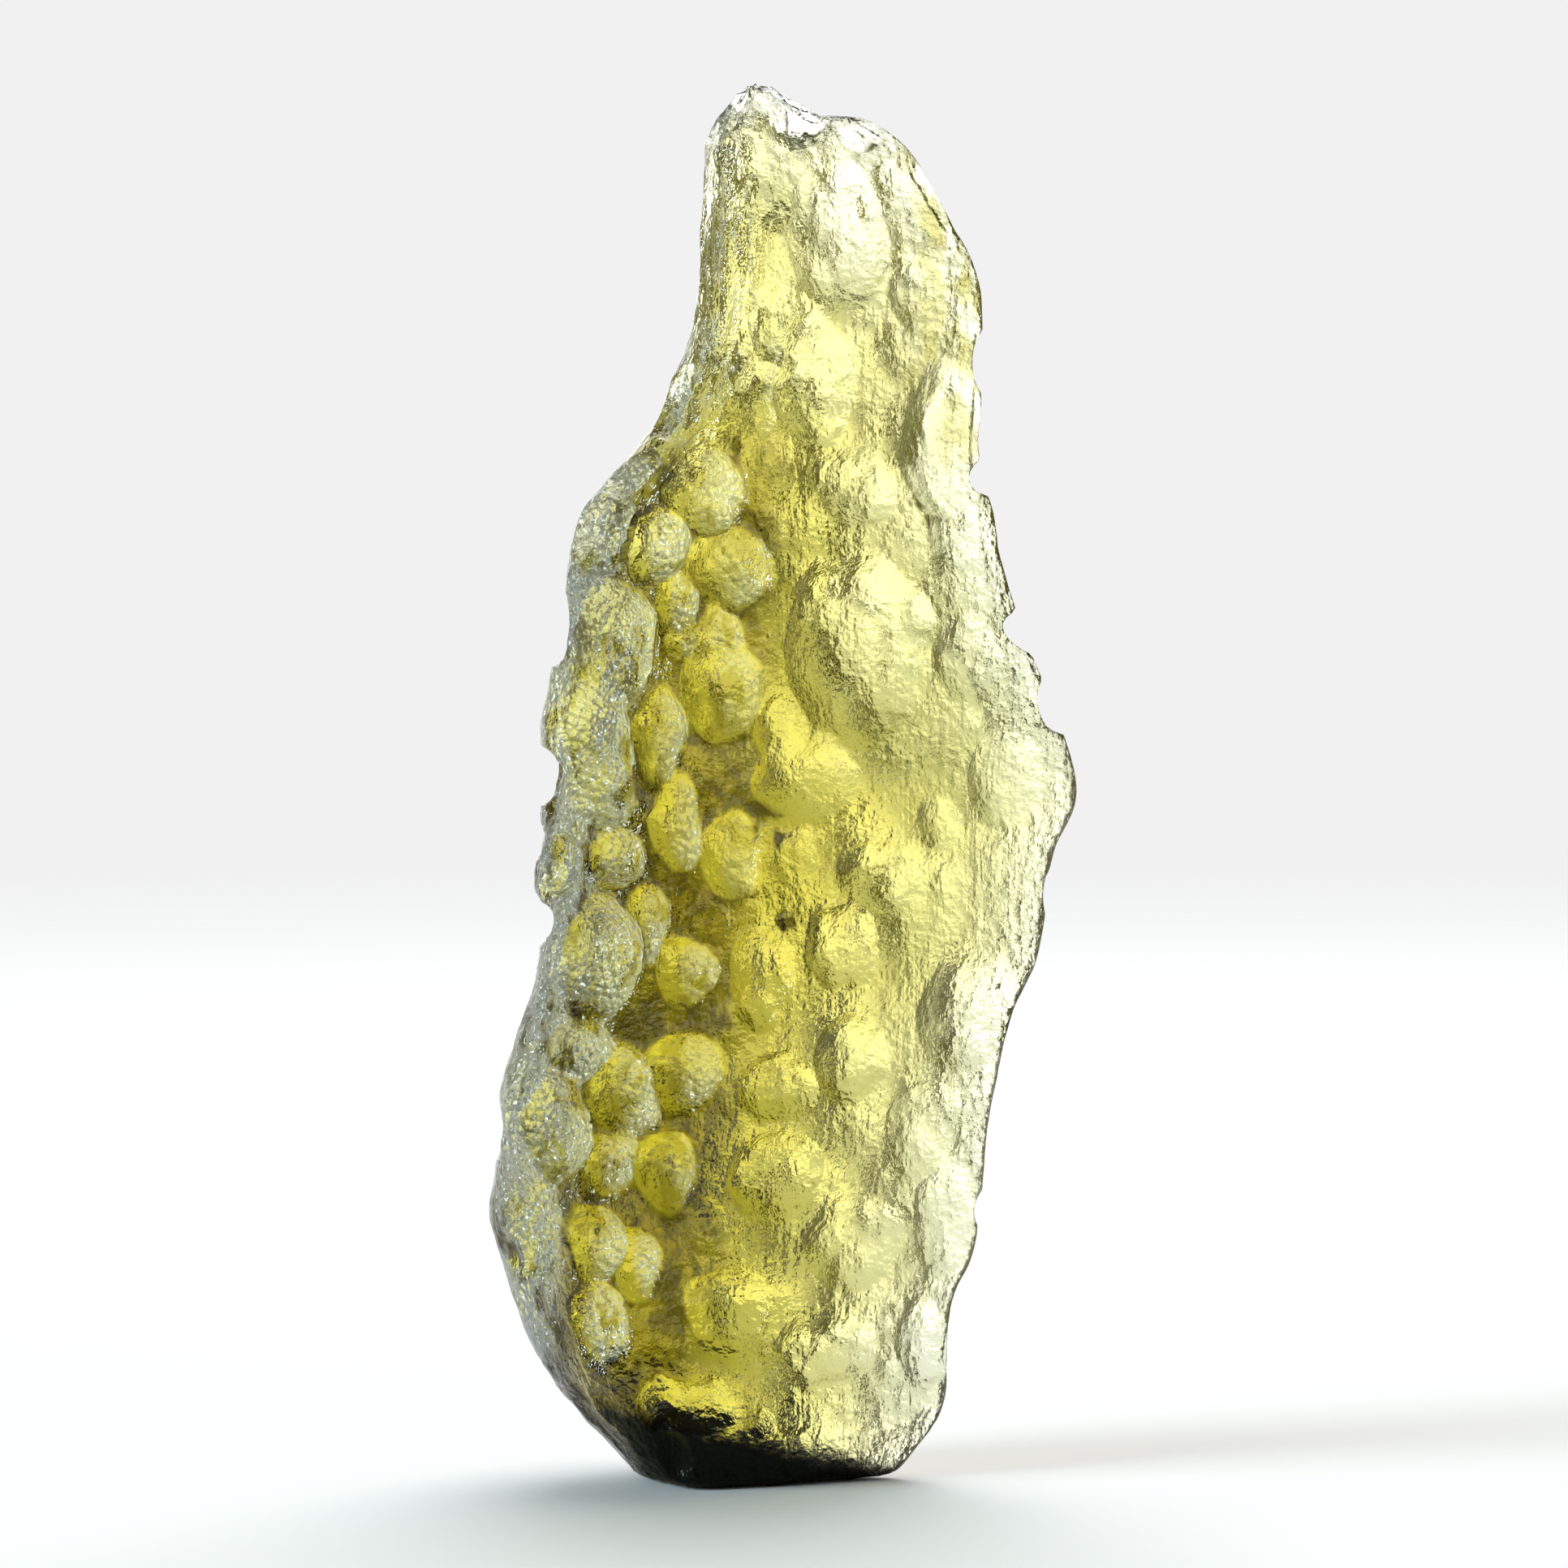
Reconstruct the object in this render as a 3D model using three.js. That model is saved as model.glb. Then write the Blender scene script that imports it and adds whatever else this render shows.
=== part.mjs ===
// A moldavite: one natural piece of olive-green tektite glass, etched all over with round pits and
// scalloped along its two edges. Units are millimetres, +Z is up, the broad front faces -Y, and the
// origin is the middle of the small flat foot that the stone stands on.

import * as THREE from "three";
import { mergeVertices } from "three/addons/utils/BufferGeometryUtils.js";

// Driving dimensions of the unpitted blank. The edges are [x, z] points, from the foot to the tip,
// and pass over the knobs of the real outline: the notches between them are pressed in later.
const LEFT_EDGE = [
  [-4.0, 0], [-5.7, 1.7], [-6.9, 3.1], [-7.7, 4.6], [-8.3, 6.2], [-8.8, 7.9], [-8.65, 9.6], [-8.5, 12.1],
  [-7.85, 14.0], [-7.2, 16.4], [-7.35, 18.9], [-7.25, 20.9], [-7.15, 23.8], [-6.6, 26.2], [-6.3, 28.6],
  [-5.85, 30.0], [-4.85, 31.0], [-3.75, 32.4], [-3.05, 33.9], [-2.45, 35.8], [-2.2, 38.3], [-2.0, 41.2],
  [-1.3, 42.4], [-0.4, 43],
];
const RIGHT_EDGE = [
  [3.8, 0], [4.6, 1.05], [5.4, 2.2], [5.5, 3.4], [5.7, 5.6], [6.3, 6.7], [6.5, 7.7], [6.65, 9.1],
  [6.75, 10.6], [7.1, 12.8], [7.55, 14.6], [8.2, 15.8], [8.55, 17.4], [8.8, 19.4], [9.55, 20.9],
  [9.2, 22.9], [8.2, 25.3], [7.55, 27.1], [7.15, 28.4], [6.95, 29.8], [6.55, 31.2], [6.55, 33.2],
  [6.55, 36.3], [6.4, 37.2], [5.4, 39.1], [4.25, 41.0], [2.9, 41.95], [1.4, 42.0], [0.7, 42.75],
  [-0.4, 43],
];
// How far the front and the back stand from the mid plane, as [height, depth].
const FRONT_DEPTH = [
  [0, 3.2], [4, 4.9], [9, 5.6], [16, 5.6], [24, 5.4], [30, 4.6], [37, 2.9], [41, 2.0], [43, 0.9],
];
const BACK_DEPTH = [
  [0, 3.1], [4, 4.4], [9, 5.0], [16, 5.0], [24, 4.7], [30, 3.9], [37, 2.4], [41, 1.8], [43, 0.8],
];
// Places across the stone, from -1 at its left edge to 1 at its right edge.
const FRONT_RIDGE = [
  [0, -0.7], [4, -0.62], [9, -0.42], [15, -0.56], [21, -0.58], [28, -0.12], [34, -0.45], [43, -0.6],
];
const FRONT_SHOULDER = 0.68; // where the front face turns into the thin right-hand bevel
const BACK_RIDGE = -0.38;
const BACK_SHOULDER = 0.6;
// Depths there, as shares of the full depth.
const FRONT_SHOULDER_SHARE = 0.28;
const BACK_SHOULDER_SHARE = 0.34;
const LEFT_RIM_SHARE = 0.3;
const RIGHT_RIM_SHARE = 0.14;
const RIDGE_ROUNDING = 0.2; // how softly the facets meet, as a share of the depth
const RIM_BLUNTNESS = 0.55; // 1 closes the rims as an ellipse does, less makes them blunter
// How far the mid plane, where the rims lie, wanders to the back, as [height, distance].
const MID_PLANE = [[0, 0], [7, 0.5], [14, -0.3], [21, 0.4], [27, -0.4], [33, 0.3], [39, -0.2], [43, 0]];

// Pits. Each is the print of a ball of ellipsoid form: where it lies, its half width and half height
// at the rim, and its depth.
const FACET_PITS = [
  { x: -5.0, z: 25.8, width: 1.7, height: 2.1, depth: 1.14 },
  { x: -5.5, z: 23.0, width: 1.6, height: 2.2, depth: 1.08 },
  { x: -5.4, z: 16.4, width: 1.7, height: 2.0, depth: 1.32 },
  { x: -6.8, z: 11.2, width: 1.6, height: 1.8, depth: 0.96 },
  { x: -4.5, z: 12.3, width: 1.3, height: 1.75, depth: 1.14 },
  { x: -5.4, z: 29.2, width: 1.3, height: 1.4, depth: 0.96 },
  { x: -2.1, z: 30.6, width: 1.5, height: 1.35, depth: 1.14 },
  { x: -1.3, z: 28.3, width: 1.5, height: 1.45, depth: 1.08 },
  { x: -3.5, z: 28.9, width: 1.1, height: 1.25, depth: 0.96 },
  { x: -1.4, z: 24.4, width: 1.4, height: 1.5, depth: 1.14 },
  { x: -3.4, z: 23.0, width: 0.85, height: 1.5, depth: 0.9 },
  { x: -2.9, z: 27.2, width: 0.7, height: 0.9, depth: 0.6 },
  { x: -2.6, z: 26.0, width: 0.55, height: 0.75, depth: 0.48 },
  { x: -5.3, z: 21.2, width: 1.3, height: 0.95, depth: 0.72 },
  { x: -4.9, z: 19.4, width: 1.2, height: 0.95, depth: 0.78 },
  { x: -6.5, z: 19.2, width: 0.9, height: 0.9, depth: 0.6 },
  { x: -3.75, z: 17.5, width: 0.8, height: 1.3, depth: 0.72 },
  { x: -6.1, z: 13.6, width: 1.6, height: 1.15, depth: 0.9 },
  { x: -4.9, z: 10.2, width: 1.1, height: 1.05, depth: 0.84 },
  { x: -2.6, z: 12.9, width: 1.2, height: 1.3, depth: 1.02 },
  { x: -3.1, z: 9.9, width: 1.1, height: 1.3, depth: 0.96 },
  { x: -5.4, z: 7.6, width: 1.1, height: 1.3, depth: 0.72 },
  { x: -7.5, z: 7.9, width: 1.2, height: 1.5, depth: 0.6 },
  { x: -5.5, z: 5.2, width: 1.2, height: 1.3, depth: 0.6 },
  { x: -4.0, z: 6.9, width: 0.8, height: 1.2, depth: 0.6 },
  { x: -3.1, z: 33.2, width: 0.9, height: 1.2, depth: 0.48 },
  { x: -4.3, z: 31.0, width: 1.0, height: 0.8, depth: 0.54 },
];
// The pits of the left facet are pressed in this far towards the front, as a share of the way there from
// square to the facet.
const FACET_TURN = 0.6;
const FRONT_PITS = [
  { x: 1.1, z: 41.7, width: 0.6, height: 0.5, depth: 0.6 },
  { x: 2.7, z: 41.3, width: 0.6, height: 0.6, depth: 0.6 },
  { x: 2.1, z: 38.2, width: 1.6, height: 2.6, depth: 0.9 },
  { x: 4.5, z: 36.6, width: 1.0, height: 1.05, depth: 0.4 },
  { x: 0, z: 35.4, width: 0.55, height: 1.05, depth: 0.42 },
  { x: 1.4, z: 33.8, width: 1.3, height: 2.0, depth: 0.6 },
  { x: -0.3, z: 33.2, width: 0.7, height: 1.2, depth: 0.48 },
  { x: 5.3, z: 32.0, width: 1.4, height: 2.4, depth: 0.6 },
  { x: 2.6, z: 30.6, width: 1.3, height: 1.2, depth: 0.6 },
  { x: 5.8, z: 29.1, width: 1.05, height: 1.0, depth: 0.35 },
  { x: 2.7, z: 25.8, width: 2.4, height: 3.2, depth: 1.27 },
  { x: -1.6, z: 25.8, width: 0.95, height: 1.4, depth: 0.68 },
  { x: 0.3, z: 23.3, width: 0.8, height: 1.1, depth: 0.6 },
  { x: 1.0, z: 21.7, width: 1.8, height: 1.25, depth: 0.75 },
  { x: 6.0, z: 25.4, width: 1.1, height: 1.5, depth: 0.35 },
  { x: 7.2, z: 21.6, width: 1.2, height: 1.5, depth: 0.4 },
  { x: 5.2, z: 20.3, width: 0.75, height: 0.85, depth: 0.3 },
  { x: -2.75, z: 20.5, width: 0.85, height: 1.5, depth: 0.68 },
  { x: -1.2, z: 19.4, width: 1.05, height: 1.3, depth: 0.63 },
  { x: 3.4, z: 18.8, width: 1.4, height: 1.2, depth: 0.52 },
  { x: 2.2, z: 16.8, width: 1.2, height: 1.4, depth: 0.72 },
  { x: -2.5, z: 16.0, width: 0.95, height: 1.15, depth: 0.63 },
  { x: -0.3, z: 15.9, width: 1.0, height: 1.5, depth: 0.63 },
  { x: 6.0, z: 14.7, width: 1.5, height: 1.9, depth: 0.5 },
  { x: 2.4, z: 13.2, width: 1.2, height: 1.3, depth: 0.6 },
  { x: 0.25, z: 12.3, width: 1.3, height: 0.95, depth: 0.6 },
  { x: 4.6, z: 11.0, width: 1.2, height: 1.6, depth: 0.35 },
  { x: 0.2, z: 9.7, width: 1.6, height: 1.4, depth: 0.6 },
  { x: 5.3, z: 8.0, width: 1.0, height: 2.0, depth: 0.38 },
  { x: 2.5, z: 7.5, width: 1.6, height: 1.5, depth: 0.6 },
  { x: -1.3, z: 5.7, width: 1.4, height: 1.3, depth: 0.57 },
  { x: 1.8, z: 4.1, width: 1.7, height: 1.0, depth: 0.63 },
  { x: 4.7, z: 4.2, width: 0.95, height: 1.4, depth: 0.32 },
  { x: -2.4, z: 2.7, width: 1.5, height: 0.9, depth: 0.52 },
];
// Notches in the edges: the height they lie at, half their height, and their depth.
const LEFT_NOTCHES = [
  { z: 10.9, height: 1.15, depth: 0.45 },
  { z: 17.3, height: 0.8, depth: 0.75 },
  { z: 19.9, height: 0.7, depth: 0.35 },
  { z: 21.8, height: 1.0, depth: 0.85 },
  { z: 26.4, height: 1.3, depth: 0.6 },
];
const RIGHT_NOTCHES = [
  { z: 8.3, height: 0.6, depth: 0.3 },
  { z: 18.1, height: 0.8, depth: 0.25 },
  { z: 24.2, height: 1.0, depth: 0.5 },
  { z: 26.3, height: 0.75, depth: 0.75 },
  { z: 31.0, height: 0.7, depth: 0.5 },
  { z: 34.4, height: 1.1, depth: 0.38 },
];
const NOTCH_WIDTH = 2.2; // half the width of a notch through the thickness of the stone
// The back is strewn with pits, spread evenly by the golden ratio's two-dimensional kin.
const BACK_PIT_COUNT = 58;
const BACK_PIT_SPREAD = [0.7548777, 0.5698403];
const BACK_PIT_RADIUS = [0.9, 1.9];
const BACK_PIT_REACH = { up: [0.06, 0.95], across: [-0.86, 0.86] };
const BACK_PIT_DEPTH_SHARE = 0.24; // of the radius
const BACK_PIT_FADE = 0.6; // how much of that depth is lost on the way from the middle to the thin right rim
const PIT_TALLNESS = 1.25; // pits are drawn out along the flow of the glass
const BOWL = 1.4; // a ball's half thickness over the depth of its print: 1 cuts steep walls

// How finely the skin is divided
const COLUMNS = 56;
const ROWS = 84;
const LAST_RING = 0.993; // the highest ring's place up the edges, just under the tip
const COLUMN_EVENNESS = 0.7; // 0 crowds the columns at the edges, 1 spaces them evenly

const GLASS_COLOUR = 0xb3a93f;

// The value at a height along [height, value] stops, eased between them.
function along(stops, height) {
  const next = stops.findIndex(([h]) => h >= height);
  if (next <= 0) return next === 0 ? stops[0][1] : stops.at(-1)[1];
  const [[h0, v0], [h1, v1]] = [stops[next - 1], stops[next]];
  return THREE.MathUtils.lerp(v0, v1, THREE.MathUtils.smoothstep(height, h0, h1));
}

// The smaller of two values, with the corner between them rounded off.
function softMin(a, b, rounding) {
  const overlap = Math.max(rounding - Math.abs(a - b), 0) / rounding;
  return Math.min(a, b) - (overlap * overlap * rounding) / 4;
}

// An edge as a curve that is read by its share of the whole length.
function edgeCurve(points) {
  const curve = new THREE.CatmullRomCurve3(points.map(([x, z]) => new THREE.Vector3(x, 0, z)));
  curve.arcLengthDivisions = 600;
  return curve;
}

const leftEdge = edgeCurve(LEFT_EDGE);
const rightEdge = edgeCurve(RIGHT_EDGE);

// The depth of one side of a section at a place across it, as a share: a facet rises from the left rim to
// a ridge, a broad face falls from there to a shoulder, and a bevel runs out to the right rim.
function sideShare(across, ridge, shoulder, shoulderShare) {
  const left = THREE.MathUtils.mapLinear(across, -1, ridge, LEFT_RIM_SHARE, 1);
  const face = THREE.MathUtils.mapLinear(across, ridge, shoulder, 1, shoulderShare);
  const right = THREE.MathUtils.mapLinear(across, shoulder, 1, shoulderShare, RIGHT_RIM_SHARE);
  return softMin(softMin(left, face, RIDGE_ROUNDING), right, RIDGE_ROUNDING);
}

// A point of the blank's skin. up runs from the foot to the tip along the edges, and turn goes once
// round: 0 to 0.5 crosses the front from left to right, and 0.5 to 1 comes back behind.
function skinPoint(up, turn) {
  const inFront = turn < 0.5;
  const share = inFront ? turn * 2 : 2 - turn * 2;
  const across = THREE.MathUtils.lerp(-Math.cos(Math.PI * share), 2 * share - 1, COLUMN_EVENNESS);
  const point = leftEdge.getPointAt(up).lerp(rightEdge.getPointAt(up), (across + 1) / 2);
  const frontRidge = along(FRONT_RIDGE, point.z);
  const reach = inFront
    ? -along(FRONT_DEPTH, point.z) * sideShare(across, frontRidge, FRONT_SHOULDER, FRONT_SHOULDER_SHARE)
    : along(BACK_DEPTH, point.z) * sideShare(across, BACK_RIDGE, BACK_SHOULDER, BACK_SHOULDER_SHARE);
  const closing = Math.pow(Math.max(1 - across * across, 0), RIM_BLUNTNESS / 2);
  point.y = along(MID_PLANE, point.z) + reach * closing;
  return point;
}

// The skin's outward direction at a place, from two short steps along it.
function skinNormal(up, turn) {
  const step = 1e-3;
  const alongUp = skinPoint(Math.min(up + step, 1), turn).sub(skinPoint(Math.max(up - step, 0), turn));
  const alongTurn = skinPoint(up, turn + step).sub(skinPoint(up, turn - step));
  return alongTurn.cross(alongUp).normalize();
}

// The place on the front, as { up, turn }, that lies straight behind a point of the view.
function frontPlace(x, z) {
  const top = LEFT_EDGE.at(-1)[1];
  let up = z / top;
  let across = 0;
  for (let step = 0; step < 40; step++) {
    const left = leftEdge.getPointAt(up);
    const right = rightEdge.getPointAt(up);
    const share = (x - left.x) / (right.x - left.x);
    across = THREE.MathUtils.clamp(2 * share - 1, -0.999, 0.999);
    const miss = z - THREE.MathUtils.lerp(left.z, right.z, share);
    up = THREE.MathUtils.clamp(up + (0.6 * miss) / top, 0, LAST_RING);
  }
  return { up, turn: turnOf(across) };
}

// The front's turn at a place across it, found by halving.
function turnOf(across) {
  let [low, high] = [0, 1];
  for (let step = 0; step < 40; step++) {
    const middle = (low + high) / 2;
    const value = THREE.MathUtils.lerp(-Math.cos(Math.PI * middle), 2 * middle - 1, COLUMN_EVENNESS);
    if (value < across) low = middle;
    else high = middle;
  }
  return low / 2;
}

// The share of an edge's length at which it reaches a height.
function upAtHeight(edge, height) {
  let [low, high] = [0, 1];
  for (let step = 0; step < 40; step++) {
    const middle = (low + high) / 2;
    if (edge.getPointAt(middle).z < height) low = middle;
    else high = middle;
  }
  return low;
}

// A ball that prints a pit: its middle stands off the skin, and its axes run inwards, sideways and
// upwards.
function pitBall(centre, outward, width, height, depth) {
  const inward = outward.clone().negate();
  const upward = new THREE.Vector3(0, 0, 1).projectOnPlane(outward).normalize();
  const sideways = new THREE.Vector3().crossVectors(inward, upward);
  const thickness = depth * BOWL;
  const rimShare = Math.sqrt(1 - Math.pow(1 - 1 / BOWL, 2));
  return {
    middle: centre.clone().addScaledVector(inward, depth - thickness),
    inward,
    sideways: sideways.divideScalar(width / rimShare),
    upward: upward.divideScalar(height / rimShare),
    thickness,
  };
}

// Presses a ball into the skin: what lies inside it slides inwards to its far wall.
function pressBall(position, ball) {
  const point = new THREE.Vector3();
  const offset = new THREE.Vector3();
  for (let i = 0; i < position.count; i++) {
    point.fromBufferAttribute(position, i);
    offset.subVectors(point, ball.middle);
    const spread = offset.dot(ball.sideways) ** 2 + offset.dot(ball.upward) ** 2;
    if (spread >= 1) continue;
    const wall = ball.thickness * Math.sqrt(1 - spread);
    const inside = offset.dot(ball.inward);
    if (Math.abs(inside) >= wall) continue;
    point.addScaledVector(ball.inward, wall - inside);
    if (position.getZ(i) > 0) position.setXYZ(i, point.x, point.y, Math.max(point.z, 0.05));
  }
}

// The ball of one pit of the front, whose axis is turned a share of the way towards the front.
function frontBall({ x, z, width, height, depth }, turned) {
  const { up, turn } = frontPlace(x, z);
  const outward = skinNormal(up, turn).lerp(new THREE.Vector3(0, -1, 0), turned).normalize();
  return pitBall(skinPoint(up, turn), outward, width, height, depth);
}

// The balls of every pit, from the left facet over the front and the edges to the strewn back.
function allBalls() {
  const balls = FACET_PITS.map((pit) => frontBall(pit, FACET_TURN));
  balls.push(...FRONT_PITS.map((pit) => frontBall(pit, 0)));
  for (const [edge, notches, side] of [[leftEdge, LEFT_NOTCHES, -1], [rightEdge, RIGHT_NOTCHES, 1]]) {
    for (const { z, height, depth } of notches) {
      const centre = edge.getPointAt(upAtHeight(edge, z));
      balls.push(pitBall(centre, new THREE.Vector3(side, 0, 0), NOTCH_WIDTH, height, depth));
    }
  }
  for (let i = 0; i < BACK_PIT_COUNT; i++) {
    const [a, b] = BACK_PIT_SPREAD.map((ratio) => (0.5 + i * ratio) % 1);
    const up = THREE.MathUtils.lerp(...BACK_PIT_REACH.up, a);
    const across = THREE.MathUtils.lerp(...BACK_PIT_REACH.across, b);
    const turn = 1 - turnOf(across);
    const radius = THREE.MathUtils.lerp(...BACK_PIT_RADIUS, (a + 3 * b) % 1);
    const depth = radius * BACK_PIT_DEPTH_SHARE * (1 - BACK_PIT_FADE * Math.max(across, 0));
    balls.push(pitBall(skinPoint(up, turn), skinNormal(up, turn), radius, radius * PIT_TALLNESS, depth));
  }
  return balls;
}

// The unpitted blank: a capped cylinder of unit size whose points are all moved onto the skin.
function blankGeometry() {
  const geometry = new THREE.CylinderGeometry(1, 1, 1, COLUMNS, ROWS);
  geometry.deleteAttribute("normal");
  geometry.deleteAttribute("uv");
  const position = geometry.getAttribute("position");
  const [tipX, tipZ] = LEFT_EDGE.at(-1);
  for (let i = 0; i < position.count; i++) {
    const [x, y, z] = [position.getX(i), position.getY(i), position.getZ(i)];
    const onAxis = Math.hypot(x, z) < 0.5;
    const turn = THREE.MathUtils.euclideanModulo(Math.atan2(x, z) / (2 * Math.PI), 1);
    if (!onAxis) {
      const point = skinPoint((y + 0.5) * LAST_RING, turn);
      position.setXYZ(i, point.x, point.y, point.z);
    } else if (y > 0) {
      position.setXYZ(i, tipX, 0, tipZ);
    } else {
      position.setXYZ(i, 0, 0, 0);
    }
  }
  return mergeVertices(geometry, 1e-4);
}

function stoneMesh() {
  const geometry = blankGeometry();
  allBalls().forEach((ball) => pressBall(geometry.getAttribute("position"), ball));
  geometry.computeVertexNormals();
  const glass = new THREE.MeshStandardMaterial({ color: GLASS_COLOUR, roughness: 0.15, metalness: 0 });
  const mesh = new THREE.Mesh(geometry, glass);
  mesh.name = "moldavite";
  return mesh;
}

const stone = new THREE.Group();
stone.add(stoneMesh());

export default stone;
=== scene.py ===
"""Looks of the moldavite: the etched skin of the stone, its clear olive glass, and a pale studio.

The stone is one piece. A cylinder is divided, drawn onto the smooth form of the blank, subdivided, and then
pitted: a ball is pressed into the skin for every pit and notch, and then for several scatters of small pits.
Fine relief is raised before and after. Lengths are millimetres until the mesh is finished, and metres in the
finishes and the studio.
"""

import logging
import math
from dataclasses import dataclass, field
from enum import Enum
from typing import Any, Iterable, Sequence

import bpy
import numpy as np
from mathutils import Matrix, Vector, noise


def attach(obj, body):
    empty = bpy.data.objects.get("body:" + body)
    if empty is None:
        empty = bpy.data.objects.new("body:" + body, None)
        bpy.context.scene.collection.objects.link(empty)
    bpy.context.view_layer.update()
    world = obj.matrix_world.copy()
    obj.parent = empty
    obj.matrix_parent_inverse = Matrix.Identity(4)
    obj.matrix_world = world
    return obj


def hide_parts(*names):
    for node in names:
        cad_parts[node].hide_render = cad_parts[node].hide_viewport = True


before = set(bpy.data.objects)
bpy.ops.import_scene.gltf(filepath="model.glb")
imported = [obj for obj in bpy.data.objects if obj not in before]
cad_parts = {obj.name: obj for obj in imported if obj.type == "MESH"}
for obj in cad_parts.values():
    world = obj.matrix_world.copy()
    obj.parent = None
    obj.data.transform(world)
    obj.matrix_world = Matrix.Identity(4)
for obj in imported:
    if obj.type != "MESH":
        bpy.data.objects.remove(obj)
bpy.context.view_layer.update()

LOG = logging.getLogger("moldavite")
MM = 0.001
WARP_SEED = 4  # fixes the waves that make the rims of the pits uneven
PHOTO_SIDE = 1932.0  # pixels
PIXELS_TO_MM = 40.0
FINE_STEPS = 4001  # how finely a curve is sampled to find a place on it
ON_GROUND = 1e-4  # points lower than this stand on the ground
LEAST_HEIGHT = 0.05  # how far above the ground a pit's wall stays

Span = tuple[float, float]
Place = tuple[float, float, float]
Colour = tuple[float, float, float, float]
Stops = tuple[Span, ...]


class Mark(Enum):
    """What is marked on the points of the mesh for the finish to read, by the attribute's name."""

    # Painted shade in the gaps between the pits.
    SOIL = "soil"
    SCOOP = "scoop"
    # The lit right halves of the scoops, where the sheen is painted.
    LIT = "lit"


class Side(Enum):
    """The two edges of the stone, by the direction that faces out of each."""

    LEFT = -1.0
    RIGHT = 1.0


@dataclass(frozen=True)
class Pit:
    """The print of a ball on the front: where it lies, half its width and height at the rim, and its depth."""

    x: float
    z: float
    width: float
    height: float
    depth: float


@dataclass(frozen=True)
class GapShade:
    """A patch of dark painted shade in the hollows of the front, between the pits: where it lies and half its
    size, in millimetres.
    """

    x: float
    z: float
    width: float
    height: float


@dataclass(frozen=True)
class Notch:
    """A bite out of an edge: the height it lies at, half its height, and its depth."""

    z: float
    height: float
    depth: float


@dataclass(frozen=True)
class Strewn:
    """A scatter of small pits over the skin, all round or on a part of it."""

    count: int
    radius: Span
    depth_share: float
    tallness: float
    reach_x: Span
    seed: int
    reach_y: Span = (-9.0, 9.0)


class Grain(Enum):
    """Kinds of relief, by the texture that gives each: rounded dimples edge to edge, or cloudy waves."""

    DIMPLES = "VORONOI"
    WAVES = "CLOUDS"


@dataclass(frozen=True)
class Relief:
    """Fine relief all over the skin: the size of one dimple or wave, how far it leans, and its height."""

    name: str
    grain: Grain
    size: Place
    lean: float
    height: float
    level: float = 0.5


def eased(stops: Stops, at: np.ndarray) -> np.ndarray:
    """Reads a value along stops, eased between them.

    Args:
        stops: pairs of place and value, places rising.
        at: the places to read.

    Returns:
        The value at each place.
    """
    places = np.array([place for place, _ in stops])
    values = np.array([value for _, value in stops])
    after = np.clip(np.searchsorted(places, at), 1, len(stops) - 1)
    share = np.clip((at - places[after - 1]) / (places[after] - places[after - 1]), 0.0, 1.0)
    share = share * share * (3.0 - 2.0 * share)
    return values[after - 1] + (values[after] - values[after - 1]) * share


def soft_min(a: np.ndarray, b: np.ndarray, rounding: float) -> np.ndarray:
    """Takes the smaller of two values, with the corner between them rounded off.

    Args:
        a: one set of values.
        b: the other set.
        rounding: how far the rounding reaches.

    Returns:
        The smaller values.
    """
    overlap = np.maximum(rounding - np.abs(a - b), 0.0) / rounding
    return np.minimum(a, b) - overlap * overlap * rounding / 4.0


class Edge:
    """One edge of the stone as a smooth curve, read by its share of the whole length."""

    def __init__(self, points: Sequence[Span], divisions: int = 600) -> None:
        """Measures the curve.

        Args:
            points: x and z of the points it passes through, from the foot to the tip.
            divisions: how many steps its length is measured in.
        """
        known = np.array(points)
        ends = (2.0 * known[0] - known[1], 2.0 * known[-1] - known[-2])
        self._points = np.vstack([ends[0], known, ends[1]])
        self._steps = np.linspace(0.0, 1.0, divisions + 1)
        track = self._track(self._steps)
        lengths = np.linalg.norm(np.diff(track, axis=0), axis=1)
        self._lengths = np.concatenate([[0.0], np.cumsum(lengths)]) / lengths.sum()

    def _track(self, share: np.ndarray) -> np.ndarray:
        """Follows the curve through its points, each span taking an equal share.

        Args:
            share: places along it, from 0 to 1.

        Returns:
            The x and z of each place.
        """
        spans = len(self._points) - 3
        span = np.clip((share * spans).astype(int), 0, spans - 1)
        t = (share * spans - span)[:, None]
        p0, p1, p2, p3 = (self._points[span + i] for i in range(4))
        gaps = [np.sqrt(np.linalg.norm(b - a, axis=1))[:, None] for a, b in ((p0, p1), (p1, p2), (p2, p3))]
        leave = ((p1 - p0) / gaps[0] - (p2 - p0) / (gaps[0] + gaps[1]) + (p2 - p1) / gaps[1]) * gaps[1]
        reach = ((p2 - p1) / gaps[1] - (p3 - p1) / (gaps[1] + gaps[2]) + (p3 - p2) / gaps[2]) * gaps[1]
        return (
            p1
            + leave * t
            + (3.0 * (p2 - p1) - 2.0 * leave - reach) * t**2
            + (2.0 * (p1 - p2) + leave + reach) * t**3
        )

    def at(self, share: np.ndarray) -> np.ndarray:
        """Reads the curve by shares of its length.

        Args:
            share: places along it, from 0 to 1.

        Returns:
            The x and z of each place.
        """
        return self._track(np.interp(share, self._lengths, self._steps))

    def share_at_height(self, height: float) -> float:
        """Finds where the curve reaches a height.

        Args:
            height: the z to look for.

        Returns:
            The share of the length there.
        """
        shares = np.linspace(0.0, 1.0, FINE_STEPS)
        return float(shares[np.argmax(self.at(shares)[:, 1] >= height)])


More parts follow.
